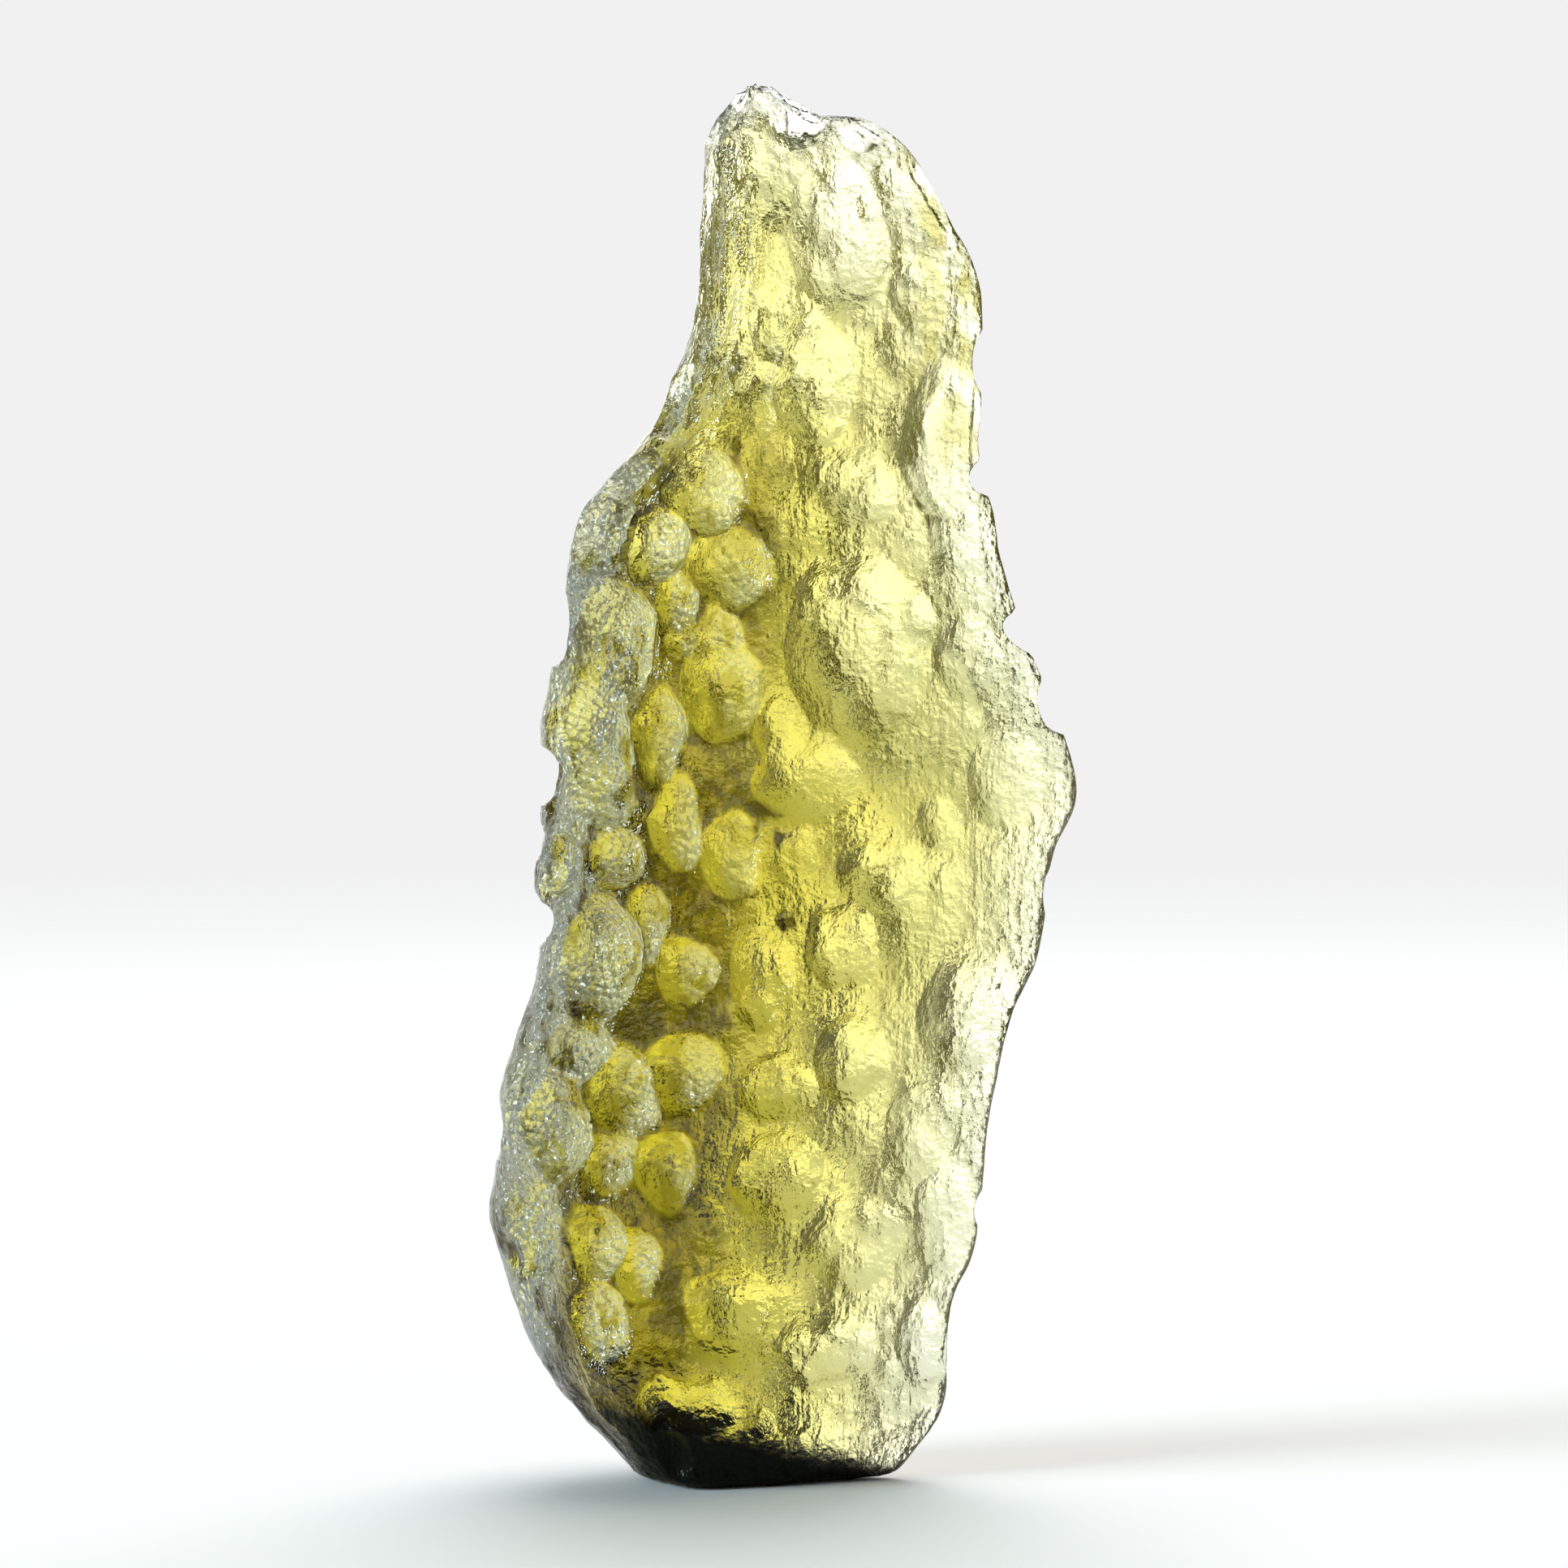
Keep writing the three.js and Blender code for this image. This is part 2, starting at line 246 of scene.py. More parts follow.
@dataclass
class Blank:
    """The form of the stone before it is pitted, in millimetres."""

    left_points: Stops = (
        (-4.0, 0), (-5.7, 1.7), (-6.9, 3.1), (-7.7, 4.6), (-8.3, 6.2), (-8.8, 7.9), (-8.65, 9.6), (-8.5, 12.1),
        (-7.85, 14.0), (-7.2, 16.4), (-7.35, 18.9), (-7.25, 20.9), (-7.15, 23.8), (-6.6, 26.2), (-6.3, 28.6),
        (-5.85, 30.0), (-4.85, 31.0), (-3.75, 32.4), (-3.05, 33.9), (-2.45, 35.8), (-2.2, 38.3), (-2.0, 41.2),
        (-1.3, 42.4), (-0.4, 43),
    )
    right_points: Stops = (
        (3.8, 0), (4.6, 1.05), (5.4, 2.2), (5.5, 3.4), (5.7, 5.6), (6.3, 6.7), (6.5, 7.7), (6.65, 9.1),
        (6.75, 10.6), (7.1, 12.8), (7.55, 14.6), (8.2, 15.8), (8.55, 17.4), (8.8, 19.4), (9.55, 20.9),
        (9.2, 22.9), (8.2, 25.3), (7.55, 27.1), (7.15, 28.4), (6.95, 29.8), (6.55, 31.2), (6.55, 33.2),
        (6.55, 36.3), (6.4, 37.2), (5.4, 39.1), (4.25, 41.0), (2.9, 41.95), (1.4, 42.0), (0.7, 42.75),
        (-0.4, 43),
    )
    front_depth: Stops = (
        (0, 3.2), (4, 4.9), (9, 5.6), (16, 5.6), (24, 5.4), (30, 4.6), (37, 2.9), (41, 2.0), (43, 0.9),
    )
    back_depth: Stops = (
        (0, 3.1), (4, 4.4), (9, 5.0), (16, 5.0), (24, 4.7), (30, 3.9), (37, 2.4), (41, 1.8), (43, 0.8),
    )
    front_ridge: Stops = (
        (0, -0.7), (4, -0.62), (9, -0.42), (15, -0.56), (21, -0.58), (28, -0.12), (34, -0.45), (43, -0.6),
    )
    mid_plane: Stops = ((0, 0), (7, 0.5), (14, -0.3), (21, 0.4), (27, -0.4), (33, 0.3), (39, -0.2), (43, 0))
    front_shoulder: float = 0.68
    back_ridge: float = -0.38
    back_shoulder: float = 0.6
    front_shoulder_share: float = 0.28
    back_shoulder_share: float = 0.34
    left_rim_share: float = 0.3
    right_rim_share: float = 0.14
    ridge_rounding: float = 0.2
    rim_bluntness: float = 0.55
    column_evenness: float = 0.7
    last_ring: float = 0.993
    search_steps: int = 40
    search_pace: float = 0.6
    rim_limit: float = 0.999

    def __post_init__(self) -> None:
        """Draws the two edges."""
        self.left = Edge(self.left_points)
        self.right = Edge(self.right_points)
        self.tip = self.left_points[-1]

    def across(self, share: np.ndarray) -> np.ndarray:
        """Spaces the columns of one side.

        Args:
            share: how far along the side, from 0 at its left rim to 1 at its right one.

        Returns:
            The place across the stone, from -1 to 1.
        """
        even = self.column_evenness
        return -np.cos(np.pi * share) * (1.0 - even) + (2.0 * share - 1.0) * even

    def turn_at(self, across: float) -> float:
        """Finds how far round the front a place across the stone lies.

        Args:
            across: the place, from -1 to 1.

        Returns:
            The turn, from 0 at the left rim to 0.5 at the right one.
        """
        shares = np.linspace(0.0, 1.0, FINE_STEPS)
        return float(np.interp(across, self.across(shares), shares)) / 2.0

    def side_share(self, across: np.ndarray, ridge: Any, shoulder: float, shoulder_share: float) -> np.ndarray:
        """Gives the depth of one side of a section: a facet, a broad face and a bevel.

        Args:
            across: places across the section.
            ridge: where the left facet meets the broad face.
            shoulder: where the broad face meets the right bevel.
            shoulder_share: the depth there.

        Returns:
            The depths, as shares of the full depth.
        """
        left = self.left_rim_share + (1.0 - self.left_rim_share) * (across + 1.0) / (ridge + 1.0)
        face = 1.0 + (shoulder_share - 1.0) * (across - ridge) / (shoulder - ridge)
        drop = self.right_rim_share - shoulder_share
        bevel = shoulder_share + drop * (across - shoulder) / (1.0 - shoulder)
        return soft_min(soft_min(left, face, self.ridge_rounding), bevel, self.ridge_rounding)

    def skin(self, up: np.ndarray, turn: np.ndarray) -> np.ndarray:
        """Gives points of the blank's skin.

        Args:
            up: from 0 at the foot to 1 at the tip, along the edges.
            turn: once round from 0 to 1: the front is crossed from left to right by 0.5, then the back.

        Returns:
            The x, y and z of each point.
        """
        in_front = turn < 0.5
        across = self.across(np.where(in_front, turn * 2.0, 2.0 - turn * 2.0))
        share = ((across + 1.0) / 2.0)[:, None]
        flat = self.left.at(up) * (1.0 - share) + self.right.at(up) * share
        z = flat[:, 1]
        front = eased(self.front_depth, z) * self.side_share(
            across, eased(self.front_ridge, z), self.front_shoulder, self.front_shoulder_share
        )
        back = eased(self.back_depth, z) * self.side_share(
            across, self.back_ridge, self.back_shoulder, self.back_shoulder_share
        )
        closing = np.maximum(1.0 - across * across, 0.0) ** (self.rim_bluntness / 2.0)
        y = eased(self.mid_plane, z) + np.where(in_front, -front, back) * closing
        return np.stack([flat[:, 0], y, z], axis=1)

    def skin_and_normal(self, up: float, turn: float) -> tuple[np.ndarray, np.ndarray]:
        """Gives one point of the skin and the direction that faces out of it.

        Args:
            up: the place between foot and tip.
            turn: the place round the stone.

        Returns:
            The point and its outward direction.
        """
        step = 1e-3
        ups = np.array([up, min(up + step, 1.0), max(up - step, 0.0), up, up])
        turns = np.array([turn, turn, turn, turn + step, turn - step])
        points = self.skin(ups, turns)
        outward = np.cross(points[3] - points[4], points[1] - points[2])
        return points[0], outward / np.linalg.norm(outward)

    def front_place(self, x: float, z: float) -> Span:
        """Finds the place on the front that lies straight behind a point of the view.

        Args:
            x: the point's x.
            z: the point's height.

        Returns:
            The place as up and turn.
        """
        top = self.tip[1]
        up = z / top
        across = 0.0
        for _ in range(self.search_steps):
            here = np.array([up])
            left, right = self.left.at(here)[0], self.right.at(here)[0]
            share = (x - left[0]) / (right[0] - left[0])
            across = min(max(2.0 * share - 1.0, -self.rim_limit), self.rim_limit)
            height = left[1] + (right[1] - left[1]) * share
            up = min(max(up + self.search_pace * (z - height) / top, 0.0), self.last_ring)
        return up, self.turn_at(across)


class Skin:
    """The points of the stone's skin while balls are pressed into them."""

    def __init__(self, points: np.ndarray, bowl: float, warp_size: float, warp_reach: float) -> None:
        """Takes the points over.

        Args:
            points: the skin's points in millimetres.
            bowl: a ball's half thickness over the depth of its print.
            warp_size: how long the waves are that make the rims uneven.
            warp_reach: how far they push a rim about.
        """
        self.points = points
        self.bowl = bowl
        noise.seed_set(WARP_SEED)
        self.warp = np.array([noise.noise_vector(Vector(point) / warp_size) for point in points]) * warp_reach
        self.on_foot = points[:, 2] < ON_GROUND

    def press(self, centre: np.ndarray, outward: np.ndarray, size: Place) -> np.ndarray:
        """Presses one ball in: what lies inside it slides inwards to its far wall.

        Args:
            centre: the middle of the print, on the skin.
            outward: the direction that faces out there.
            size: half the width and half the height of the print at its rim, and its depth.

        Returns:
            How far each point was moved, as a share of the depth.
        """
        width, height, depth = size
        inward = -outward
        upward = np.array([0.0, 0.0, 1.0]) - outward * outward[2]
        upward /= np.linalg.norm(upward)
        sideways = np.cross(inward, upward)
        thickness = depth * self.bowl
        rim_share = math.sqrt(1.0 - (1.0 - 1.0 / self.bowl) ** 2)
        offset = self.points + self.warp - (centre + inward * (depth - thickness))
        spread = (offset @ sideways * rim_share / width) ** 2 + (offset @ upward * rim_share / height) ** 2
        wall = thickness * np.sqrt(np.maximum(1.0 - spread, 0.0))
        inside = (offset - self.warp) @ inward
        hit = (np.abs(inside) < wall) & ~self.on_foot
        self.points[hit] += (wall - inside)[hit, None] * inward
        self.points[hit, 2] = np.maximum(self.points[hit, 2], LEAST_HEIGHT)
        return np.where(hit, (wall - inside) / depth, 0.0)


class Wire:
    """A shader socket that can be reckoned with: each sum makes the maths node that it stands for."""

    def __init__(self, tree: bpy.types.NodeTree, socket: bpy.types.NodeSocket) -> None:
        """Wraps a socket.

        Args:
            tree: the node tree it is in.
            socket: an output of one of its nodes.
        """
        self.tree = tree
        self.socket = socket

    def _maths(self, operation: str, first: Any, second: Any) -> "Wire":
        """Adds a maths node.

        Args:
            operation: what it does.
            first: its first value, a wire or a number.
            second: its second value.

        Returns:
            The wire that comes out of it.
        """
        node = self.tree.nodes.new("ShaderNodeMath")
        node.operation = operation
        for place, value in enumerate((first, second)):
            if isinstance(value, Wire):
                self.tree.links.new(value.socket, node.inputs[place])
            else:
                node.inputs[place].default_value = value
        return Wire(self.tree, node.outputs[0])

    def __add__(self, other: Any) -> "Wire":
        """Adds."""
        return self._maths("ADD", self, other)

    __radd__ = __add__

    def __sub__(self, other: Any) -> "Wire":
        """Takes away."""
        return self._maths("SUBTRACT", self, other)

    def __rsub__(self, other: Any) -> "Wire":
        """Is taken away."""
        return self._maths("SUBTRACT", other, self)

    def __mul__(self, other: Any) -> "Wire":
        """Multiplies."""
        return self._maths("MULTIPLY", self, other)

    __rmul__ = __mul__

    def at_least(self, other: Any) -> "Wire":
        """Keeps the larger."""
        return self._maths("MAXIMUM", self, other)


@dataclass(frozen=True)
class Waves:
    """A cloudy pattern: waves to a metre, how many finer ones lie on them and how strong, and its squeeze."""

    scale: float
    detail: float
    roughness: float = 0.5
    squeeze: Place | None = None


class Shader:
    """A node tree that is built one node at a time."""

    def __init__(self, tree: bpy.types.NodeTree) -> None:
        """Empties a tree.

        Args:
            tree: the tree to build in.
        """
        self.tree = tree
        tree.nodes.clear()

    def node(
        self,
        kind: str,
        settings: dict[str, Any] | None = None,
        sockets: dict[str | int, Any] | None = None,
        out: str | int = 0,
    ) -> Wire:
        """Adds a node.

        Args:
            kind: the node's type.
            settings: its properties.
            sockets: its inputs by name or number, each a wire or a value that is set on the socket.
            out: the name or number of the output to use.

        Returns:
            The wire that comes out of it.
        """
        node = self.tree.nodes.new(kind)
        for name, value in (settings or {}).items():
            setattr(node, name, value)
        for name, value in (sockets or {}).items():
            if isinstance(value, Wire):
                self.tree.links.new(value.socket, node.inputs[name])
            else:
                node.inputs[name].default_value = value
        return Wire(self.tree, node.outputs[out] if node.outputs else None)

    def ramp(self, value: Wire, low: float, high: float, start: float = 0.0, end: float = 1.0) -> Wire:
        """Eases a value from one range to another.

        Args:
            value: what is read.
            low: where the range starts.
            high: where it ends.
            start: what the start becomes.
            end: what the end becomes.

        Returns:
            The eased value.
        """
        return self.node(
            "ShaderNodeMapRange",
            {"interpolation_type": "SMOOTHSTEP"},
            {"Value": value, "From Min": low, "From Max": high, "To Min": start, "To Max": end},
        )

    def blend(self, share: Wire, first: Any, second: Any) -> Wire:
        """Mixes two colours.

        Args:
            share: how much of the second.
            first: a colour or a wire.
            second: a colour or a wire.

        Returns:
            The mixed colour.
        """
        return self.node("ShaderNodeMix", {"data_type": "RGBA"}, {0: share, 6: first, 7: second}, out=2)

    def noise(self, place: Wire, waves: Waves) -> Wire:
        """Adds a noise texture.

        Args:
            place: where it is read.
            waves: its pattern.

        Returns:
            The noise, from 0 to 1.
        """
        if waves.squeeze:
            place = self.node("ShaderNodeMapping", sockets={"Vector": place, "Scale": waves.squeeze})
        return self.node(
            "ShaderNodeTexNoise",
            sockets={
                "Vector": place,
                "Scale": waves.scale,
                "Detail": waves.detail,
                "Roughness": waves.roughness,
            },
        )

    def bump(self, height: Wire) -> Wire:
        """Turns a height in metres into a bent normal."""
        return self.node("ShaderNodeBump", sockets={"Strength": 1.0, "Distance": 1.0, "Height": height})

    def parts(self, vector: Wire) -> tuple[Wire, ...]:
        """Takes a vector apart into its x, y and z."""
        return tuple(self.node("ShaderNodeSeparateXYZ", sockets={"Vector": vector}, out=axis) for axis in "XYZ")


@dataclass(frozen=True)
class SkinMap:
    """What the glass's finish reads at a point of the skin, each a wire of its shader."""

    place: Wire
    across: Wire
    up: Wire
    behind: Wire
    flow: Wire
    grain: Wire
    clouds: Wire
    mottle: Wire
    scoop: Wire
    lit: Wire
    soil: Wire
    on_facet: Wire
    on_rim: Wire


@dataclass(frozen=True)
class TektiteGlass:
    """Clear olive glass with a finely etched skin, frosted in the scoops of the left facet, with a whitish
    painted sheen on their lit halves.

    A field that ends in _from or _up is a range over which something sets in: of a pattern, of the place across
    the stone, or of the height, in metres.
    """

    name: str = "tektite_glass"
    refraction: float = 1.49
    clearness: float = 1.0
    tint: Colour = (0.775, 0.73, 0.05, 1.0)
    density: float = 440.0
    behind_from: Span = (-0.0005, 0.0015)
    cloud_waves: Waves = Waves(420.0, 1.0)
    flow_waves: Waves = Waves(3600.0, 2.0, 0.6, (1.0, 1.0, 0.05))
    flow_height: float = 0.00007
    grain_waves: Waves = Waves(3600.0, 2.0, 0.55)
    grain_height: float = 0.00013
    mottle_waves: Waves = Waves(900.0, 3.0, 0.65, (1.0, 1.0, 0.6))
    wrinkle_waves: Waves = Waves(900.0, 2.0, 0.55, (0.22, 0.22, 1.0))
    wrinkle_height: float = 0.0003
    wrinkle_up: Span = (0.0075, 0.0045)
    relief_lost_behind: float = 0.6
    rough_from: Span = (0.4, 0.65)
    front_roughness: Span = (0.04, 0.1)
    back_roughness: float = 0.18
    haze_from: Span = (-0.001, 0.0045)
    front_haze: float = 0.08
    back_haze: float = 0.22
    skin_from: Span = (0.35, 0.7)
    skin_colours: tuple[Colour, Colour] = ((1.0, 1.0, 1.0, 1.0), (0.93, 0.94, 0.86, 1.0))
    thin_colour: Colour = (0.88, 0.89, 0.7, 1.0)
    thin_from: Span = (0.0015, 0.006)
    clouded_colour: Colour = (0.5, 0.47, 0.17, 1.0)
    clouded_from: Span = (0.4, 0.6)
    clouded_up: Span = (0.028, 0.034)
    deep_colour: Colour = (0.74, 0.72, 0.25, 1.0)
    deep_from: Span = (0.0035, -0.0055)
    deep_up: Span = (0.036, 0.026)
    facet_lean: float = 0.085
    facet_from: Span = (-0.0012, -0.0034)
    rim_from: Span = (-0.0062, -0.0082)
    # Painted shade: dark golden-brown on the ground between the lit scoops, and in mottled patches over the
    # facet.
    ground_shade_colour: Colour = (0.17, 0.145, 0.004, 1.0)
    ground_from: Span = (0.3, 0.0)
    ground_up: Span = (0.033, 0.030)
    ground_on_rim: float = 0.3
    ground_clouds: float = 0.4
    golden_from: Span = (0.5, 0.62)
    golden_weight: float = 0.7
    # Painted shade: dark brown specks over the ground, and patches in the gaps between the pits.
    dark_shade_from: Span = (0.43, 0.57)
    gap_shade_colour: Colour = (0.04, 0.034, 0.007, 1.0)
    gap_shade_from: Span = (0.5, 1.05)
    gap_shade_mottle: float = 2.4
    gap_shade_grain: float = 0.8
    gap_shade_scoop_from: Span = (0.6, 0.15)
    # Painted shade on the foot: a near-black matt layer up to a ragged, sloping border.
    foot_shade_colour: Colour = (0.003, 0.004, 0.001, 1.0)
    foot_height: float = 0.00114
    foot_slope: float = 0.28
    foot_raggedness: float = 0.0011
    foot_from: Span = (-0.0002, 0.0006)
    foot_rim_lean: float = 0.5
    foot_rim_from: Span = (-0.0043, -0.0034)
    foot_shade_weight: float = 0.85
    foot_shade_roughness: float = 0.8
    foot_shade_gloss: float = 0.1
    # Painted sheen: a whitish, partly matt frost laid on the lit halves of the left facet's scoops.
    frost_sheen_colour: Colour = (0.9, 0.95, 0.95, 1.0)
    frost_sheen_weight: float = 0.8
    frost_sheen_roughness: float = 0.2
    frost_sheen_refraction: float = 1.75
    frost_sheen_clearness: float = 0.76
    frost_sheen_from: Span = (0.06, 0.45)
    frost_sheen_up: Span = (0.0025, 0.0045)
    frost_sheen_mottle_from: Span = (0.63, 0.5)
    frost_sheen_on_rim: float = 0.7
    frost_sheen_grain: float = 0.2
    frost_sheen_lost_behind: float = 0.7
    streak_from: Span = (0.44, 0.66)
    streak_up: Span = (0.031, 0.035)
    streak_weight: float = 0.7
    crinkle_scale: float = 3900.0
    crinkle_height: float = 0.00016

    def make(self) -> bpy.types.Material:
        """Makes the material.

        Returns:
            The material.
        """
        material = bpy.data.materials.new(self.name)
        material.use_nodes = True
        shader = Shader(material.node_tree)
        skin = self._read(shader)
        ground = self._ground(shader, skin)
        shade_spot = self._dark_shade(shader, skin, ground)
        dark = self._foot_shade(shader, skin)
        relief = shader.bump(self._relief(shader, skin))
        glass = shader.node(
            "ShaderNodeBsdfPrincipled",
            sockets={
                "Base Color": self._colour(shader, skin, ground, shade_spot, dark),
                "Roughness": self._roughness(shader, skin),
                "IOR": self.refraction,
                "Transmission Weight": self.clearness,
                "Normal": relief,
            },
        )
        crinkles = shader.node(
            "ShaderNodeTexVoronoi", sockets={"Vector": skin.place, "Scale": self.crinkle_scale}
        )
        frost_sheen = shader.node(
            "ShaderNodeBsdfPrincipled",
            sockets={
                "Base Color": self.frost_sheen_colour,
                "Roughness": self.frost_sheen_roughness,
                "IOR": self.frost_sheen_refraction,
                "Transmission Weight": self.frost_sheen_clearness,
                "Normal": shader.bump(skin.grain * self.grain_height + crinkles * self.crinkle_height),
            },
        )
        # Painted shade: a near-black matt layer over the foot, mixed in by the dark share.
        foot_shade_layer = shader.node(
            "ShaderNodeBsdfPrincipled",
            sockets={
                "Base Color": self.foot_shade_colour,
                "Roughness": self.foot_shade_roughness,
                "Specular IOR Level": self.foot_shade_gloss,
                "Normal": relief,
            },
        )
        # Painted sheen: the whitish frost on the lit halves of the scoops, kept off the painted shade.
        share = self._frost_sheen(shader, skin) * (1.0 - shade_spot) * self.frost_sheen_weight
        surface = shader.node("ShaderNodeMixShader", sockets={0: share, 1: glass, 2: frost_sheen})
        share = dark * self.foot_shade_weight
        surface = shader.node("ShaderNodeMixShader", sockets={0: share, 1: surface, 2: foot_shade_layer})
        inside = shader.node(
            "ShaderNodeVolumeAbsorption", sockets={"Color": self.tint, "Density": self.density}
        )
        shader.node("ShaderNodeOutputMaterial", sockets={"Surface": surface, "Volume": inside})
        return material

    def _read(self, shader: Shader) -> SkinMap:
        """Adds the places, patterns and mesh attributes that the finish goes by.

        Args:
            shader: the material's nodes.

        Returns:
            Their wires.
        """
        place = shader.node("ShaderNodeTexCoord", out="Object")
        across, depth, up = shader.parts(place)
        leftwards = across - up * self.facet_lean
        scoop, lit, soil = (
            shader.node("ShaderNodeAttribute", {"attribute_name": mark.value}, out="Fac")
            for mark in (Mark.SCOOP, Mark.LIT, Mark.SOIL)
        )
        return SkinMap(
            place=place,
            across=across,
            up=up,
            behind=shader.ramp(depth, *self.behind_from),
            flow=shader.noise(place, self.flow_waves),
            grain=shader.noise(place, self.grain_waves),
            clouds=shader.noise(place, self.cloud_waves),
            mottle=shader.noise(place, self.mottle_waves),
            scoop=scoop,
            lit=lit,
            soil=soil,
            on_facet=shader.ramp(leftwards, *self.facet_from),
            on_rim=shader.ramp(leftwards, *self.rim_from),
        )

    def _frost_sheen(self, shader: Shader, skin: SkinMap) -> Wire:
        """Frosts the lit halves of the left facet's scoops, its rim, and streaks near the tip: a whitish
        painted sheen where the light from the left would glint.

        Args:
            shader: the material's nodes.
            skin: what is read at the skin.

        Returns:
            How much frost and painted sheen the skin takes.
        """
        lit = skin.lit + skin.on_rim * self.frost_sheen_on_rim + (skin.grain - 0.5) * self.frost_sheen_grain
        sheen_share = skin.on_facet * shader.ramp(lit, *self.frost_sheen_from)
        streaks = skin.on_facet * shader.ramp(skin.up, *self.streak_up)
        streaks = streaks * shader.ramp(skin.flow, *self.streak_from)
        sheen_share = sheen_share.at_least(streaks * self.streak_weight)
        sheen_share = sheen_share * shader.ramp(skin.up, *self.frost_sheen_up)
        sheen_share = sheen_share * shader.ramp(skin.mottle, *self.frost_sheen_mottle_from)
        return sheen_share * (1.0 - skin.behind * self.frost_sheen_lost_behind)

    def _ground(self, shader: Shader, skin: SkinMap) -> Wire:
        """Finds the ground between the scoops of the left facet, which is painted a dark golden-brown shade.

        Args:
            shader: the material's nodes.
            skin: what is read at the skin.

        Returns:
            How much of the skin is ground.
        """
        between = skin.scoop + skin.on_rim * self.ground_on_rim + (skin.clouds - 0.5) * self.ground_clouds
        ground = skin.on_facet * shader.ramp(between, *self.ground_from) * (1.0 - skin.behind)
        return ground * shader.ramp(skin.up, *self.ground_up)

    def _dark_shade(self, shader: Shader, skin: SkinMap, ground: Wire) -> Wire:
        """Paints shade in dark specks over the ground, and in the patches between the pits where no scoop lies.

        Args:
            shader: the material's nodes.
            skin: what is read at the skin.
            ground: the ground between the scoops.

        Returns:
            How much painted shade the skin takes.
        """
        soil = skin.soil + (skin.mottle - 0.5) * self.gap_shade_mottle + (skin.grain - 0.5) * self.gap_shade_grain
        gap_shaded = shader.ramp(soil, *self.gap_shade_from) * shader.ramp(skin.scoop, *self.gap_shade_scoop_from)
        return (ground * shader.ramp(skin.mottle, *self.dark_shade_from)).at_least(gap_shaded)

    def _foot_shade(self, shader: Shader, skin: SkinMap) -> Wire:
        """Paints shade over the foot: darkens it up to a ragged, sloping border, but for the left rim.

        Args:
            shader: the material's nodes.
            skin: what is read at the skin.

        Returns:
            How dark the skin is.
        """
        ragged = (skin.mottle - 0.5) * self.foot_raggedness
        over_foot = skin.up + skin.across * self.foot_slope + ragged - self.foot_height
        off_rim = shader.ramp(skin.across + skin.up * self.foot_rim_lean, *self.foot_rim_from)
        return shader.ramp(over_foot, *self.foot_from, 1.0, 0.0) * off_rim

    def _colour(self, shader: Shader, skin: SkinMap, ground: Wire, shade_spot: Wire, dark: Wire) -> Wire:
        """Tints the skin: pale at the thin right edge, gold at the left, then painted shade on the ground, in
        the gaps and on the foot.

        Args:
            shader: the material's nodes.
            skin: what is read at the skin.
            ground: the painted shade of the ground between the scoops.
            shade_spot: the painted shade of the specks and gaps.
            dark: the painted shade on the foot.

        Returns:
            The colour.
        """
        thin = shader.ramp(skin.across, *self.thin_from)
        clouded = thin * shader.ramp(skin.up, *self.clouded_up) * shader.ramp(skin.mottle, *self.clouded_from)
        deep = shader.ramp(skin.across, *self.deep_from) * shader.ramp(skin.up, *self.deep_up)
        # Painted shade: mottled patches of the ground's dark golden-brown over the facet.
        golden = skin.on_facet * shader.ramp(skin.mottle, *self.golden_from) * (1.0 - skin.behind)
        golden = golden * shader.ramp(skin.up, *self.ground_up) * self.golden_weight
        colour = shader.blend(shader.ramp(skin.clouds, *self.skin_from), *self.skin_colours)
        for share, over in (
            (thin, self.thin_colour),
            (clouded, self.clouded_colour),
            (deep, self.deep_colour),
            (ground, self.ground_shade_colour),
            (golden, self.ground_shade_colour),
            (shade_spot, self.gap_shade_colour),
            (dark, self.foot_shade_colour),
        ):
            colour = shader.blend(share, colour, over)
        return colour

    def _roughness(self, shader: Shader, skin: SkinMap) -> Wire:
        """Roughens the skin in clouds, more so at the right and behind.

        Args:
            shader: the material's nodes.
            skin: what is read at the skin.

        Returns:
            The roughness.
        """
        haze = shader.ramp(skin.across, *self.haze_from)
        rough = shader.ramp(skin.clouds, *self.rough_from, *self.front_roughness) + haze * self.front_haze
        return rough + (haze * self.back_haze + self.back_roughness - rough) * skin.behind

    def _relief(self, shader: Shader, skin: SkinMap) -> Wire:
        """Raises flow lines and grain, and wrinkles low down.

        Args:
            shader: the material's nodes.
            skin: what is read at the skin.

        Returns:
            The height of the relief.
        """
        wrinkles = shader.noise(skin.place, self.wrinkle_waves) * shader.ramp(skin.up, *self.wrinkle_up)
        height = skin.flow * self.flow_height + skin.grain * self.grain_height + wrinkles * self.wrinkle_height
        return height * (1.0 - skin.behind * self.relief_lost_behind)


@dataclass(frozen=True)
class PaleMatt:
    """A plain pale matt finish for the floor."""

    name: str = "pale_floor"
    colour: Colour = (0.82, 0.82, 0.81, 1.0)
    roughness: float = 0.9
    gloss: float = 0.0
    fade_from: Span = (0.08, 0.4)

    def make(self) -> bpy.types.Material:
        """Makes the material, which fades out with distance into the light all round.

        Returns:
            The material.
        """
        material = bpy.data.materials.new(self.name)
        material.use_nodes = True
        shader = Shader(material.node_tree)
        place = shader.node("ShaderNodeTexCoord", out="Object")
        reach = shader.node("ShaderNodeVectorMath", {"operation": "LENGTH"}, {"Vector": place}, out="Value")
        matt = shader.node(
            "ShaderNodeBsdfPrincipled",
            sockets={"Base Color": self.colour, "Roughness": self.roughness, "Specular IOR Level": self.gloss},
        )
        clear = shader.node("ShaderNodeBsdfTransparent")
        fading = shader.ramp(reach, *self.fade_from)
        mixed = shader.node("ShaderNodeMixShader", sockets={0: fading, 1: matt, 2: clear})
        shader.node("ShaderNodeOutputMaterial", sockets={"Surface": mixed})
        return material


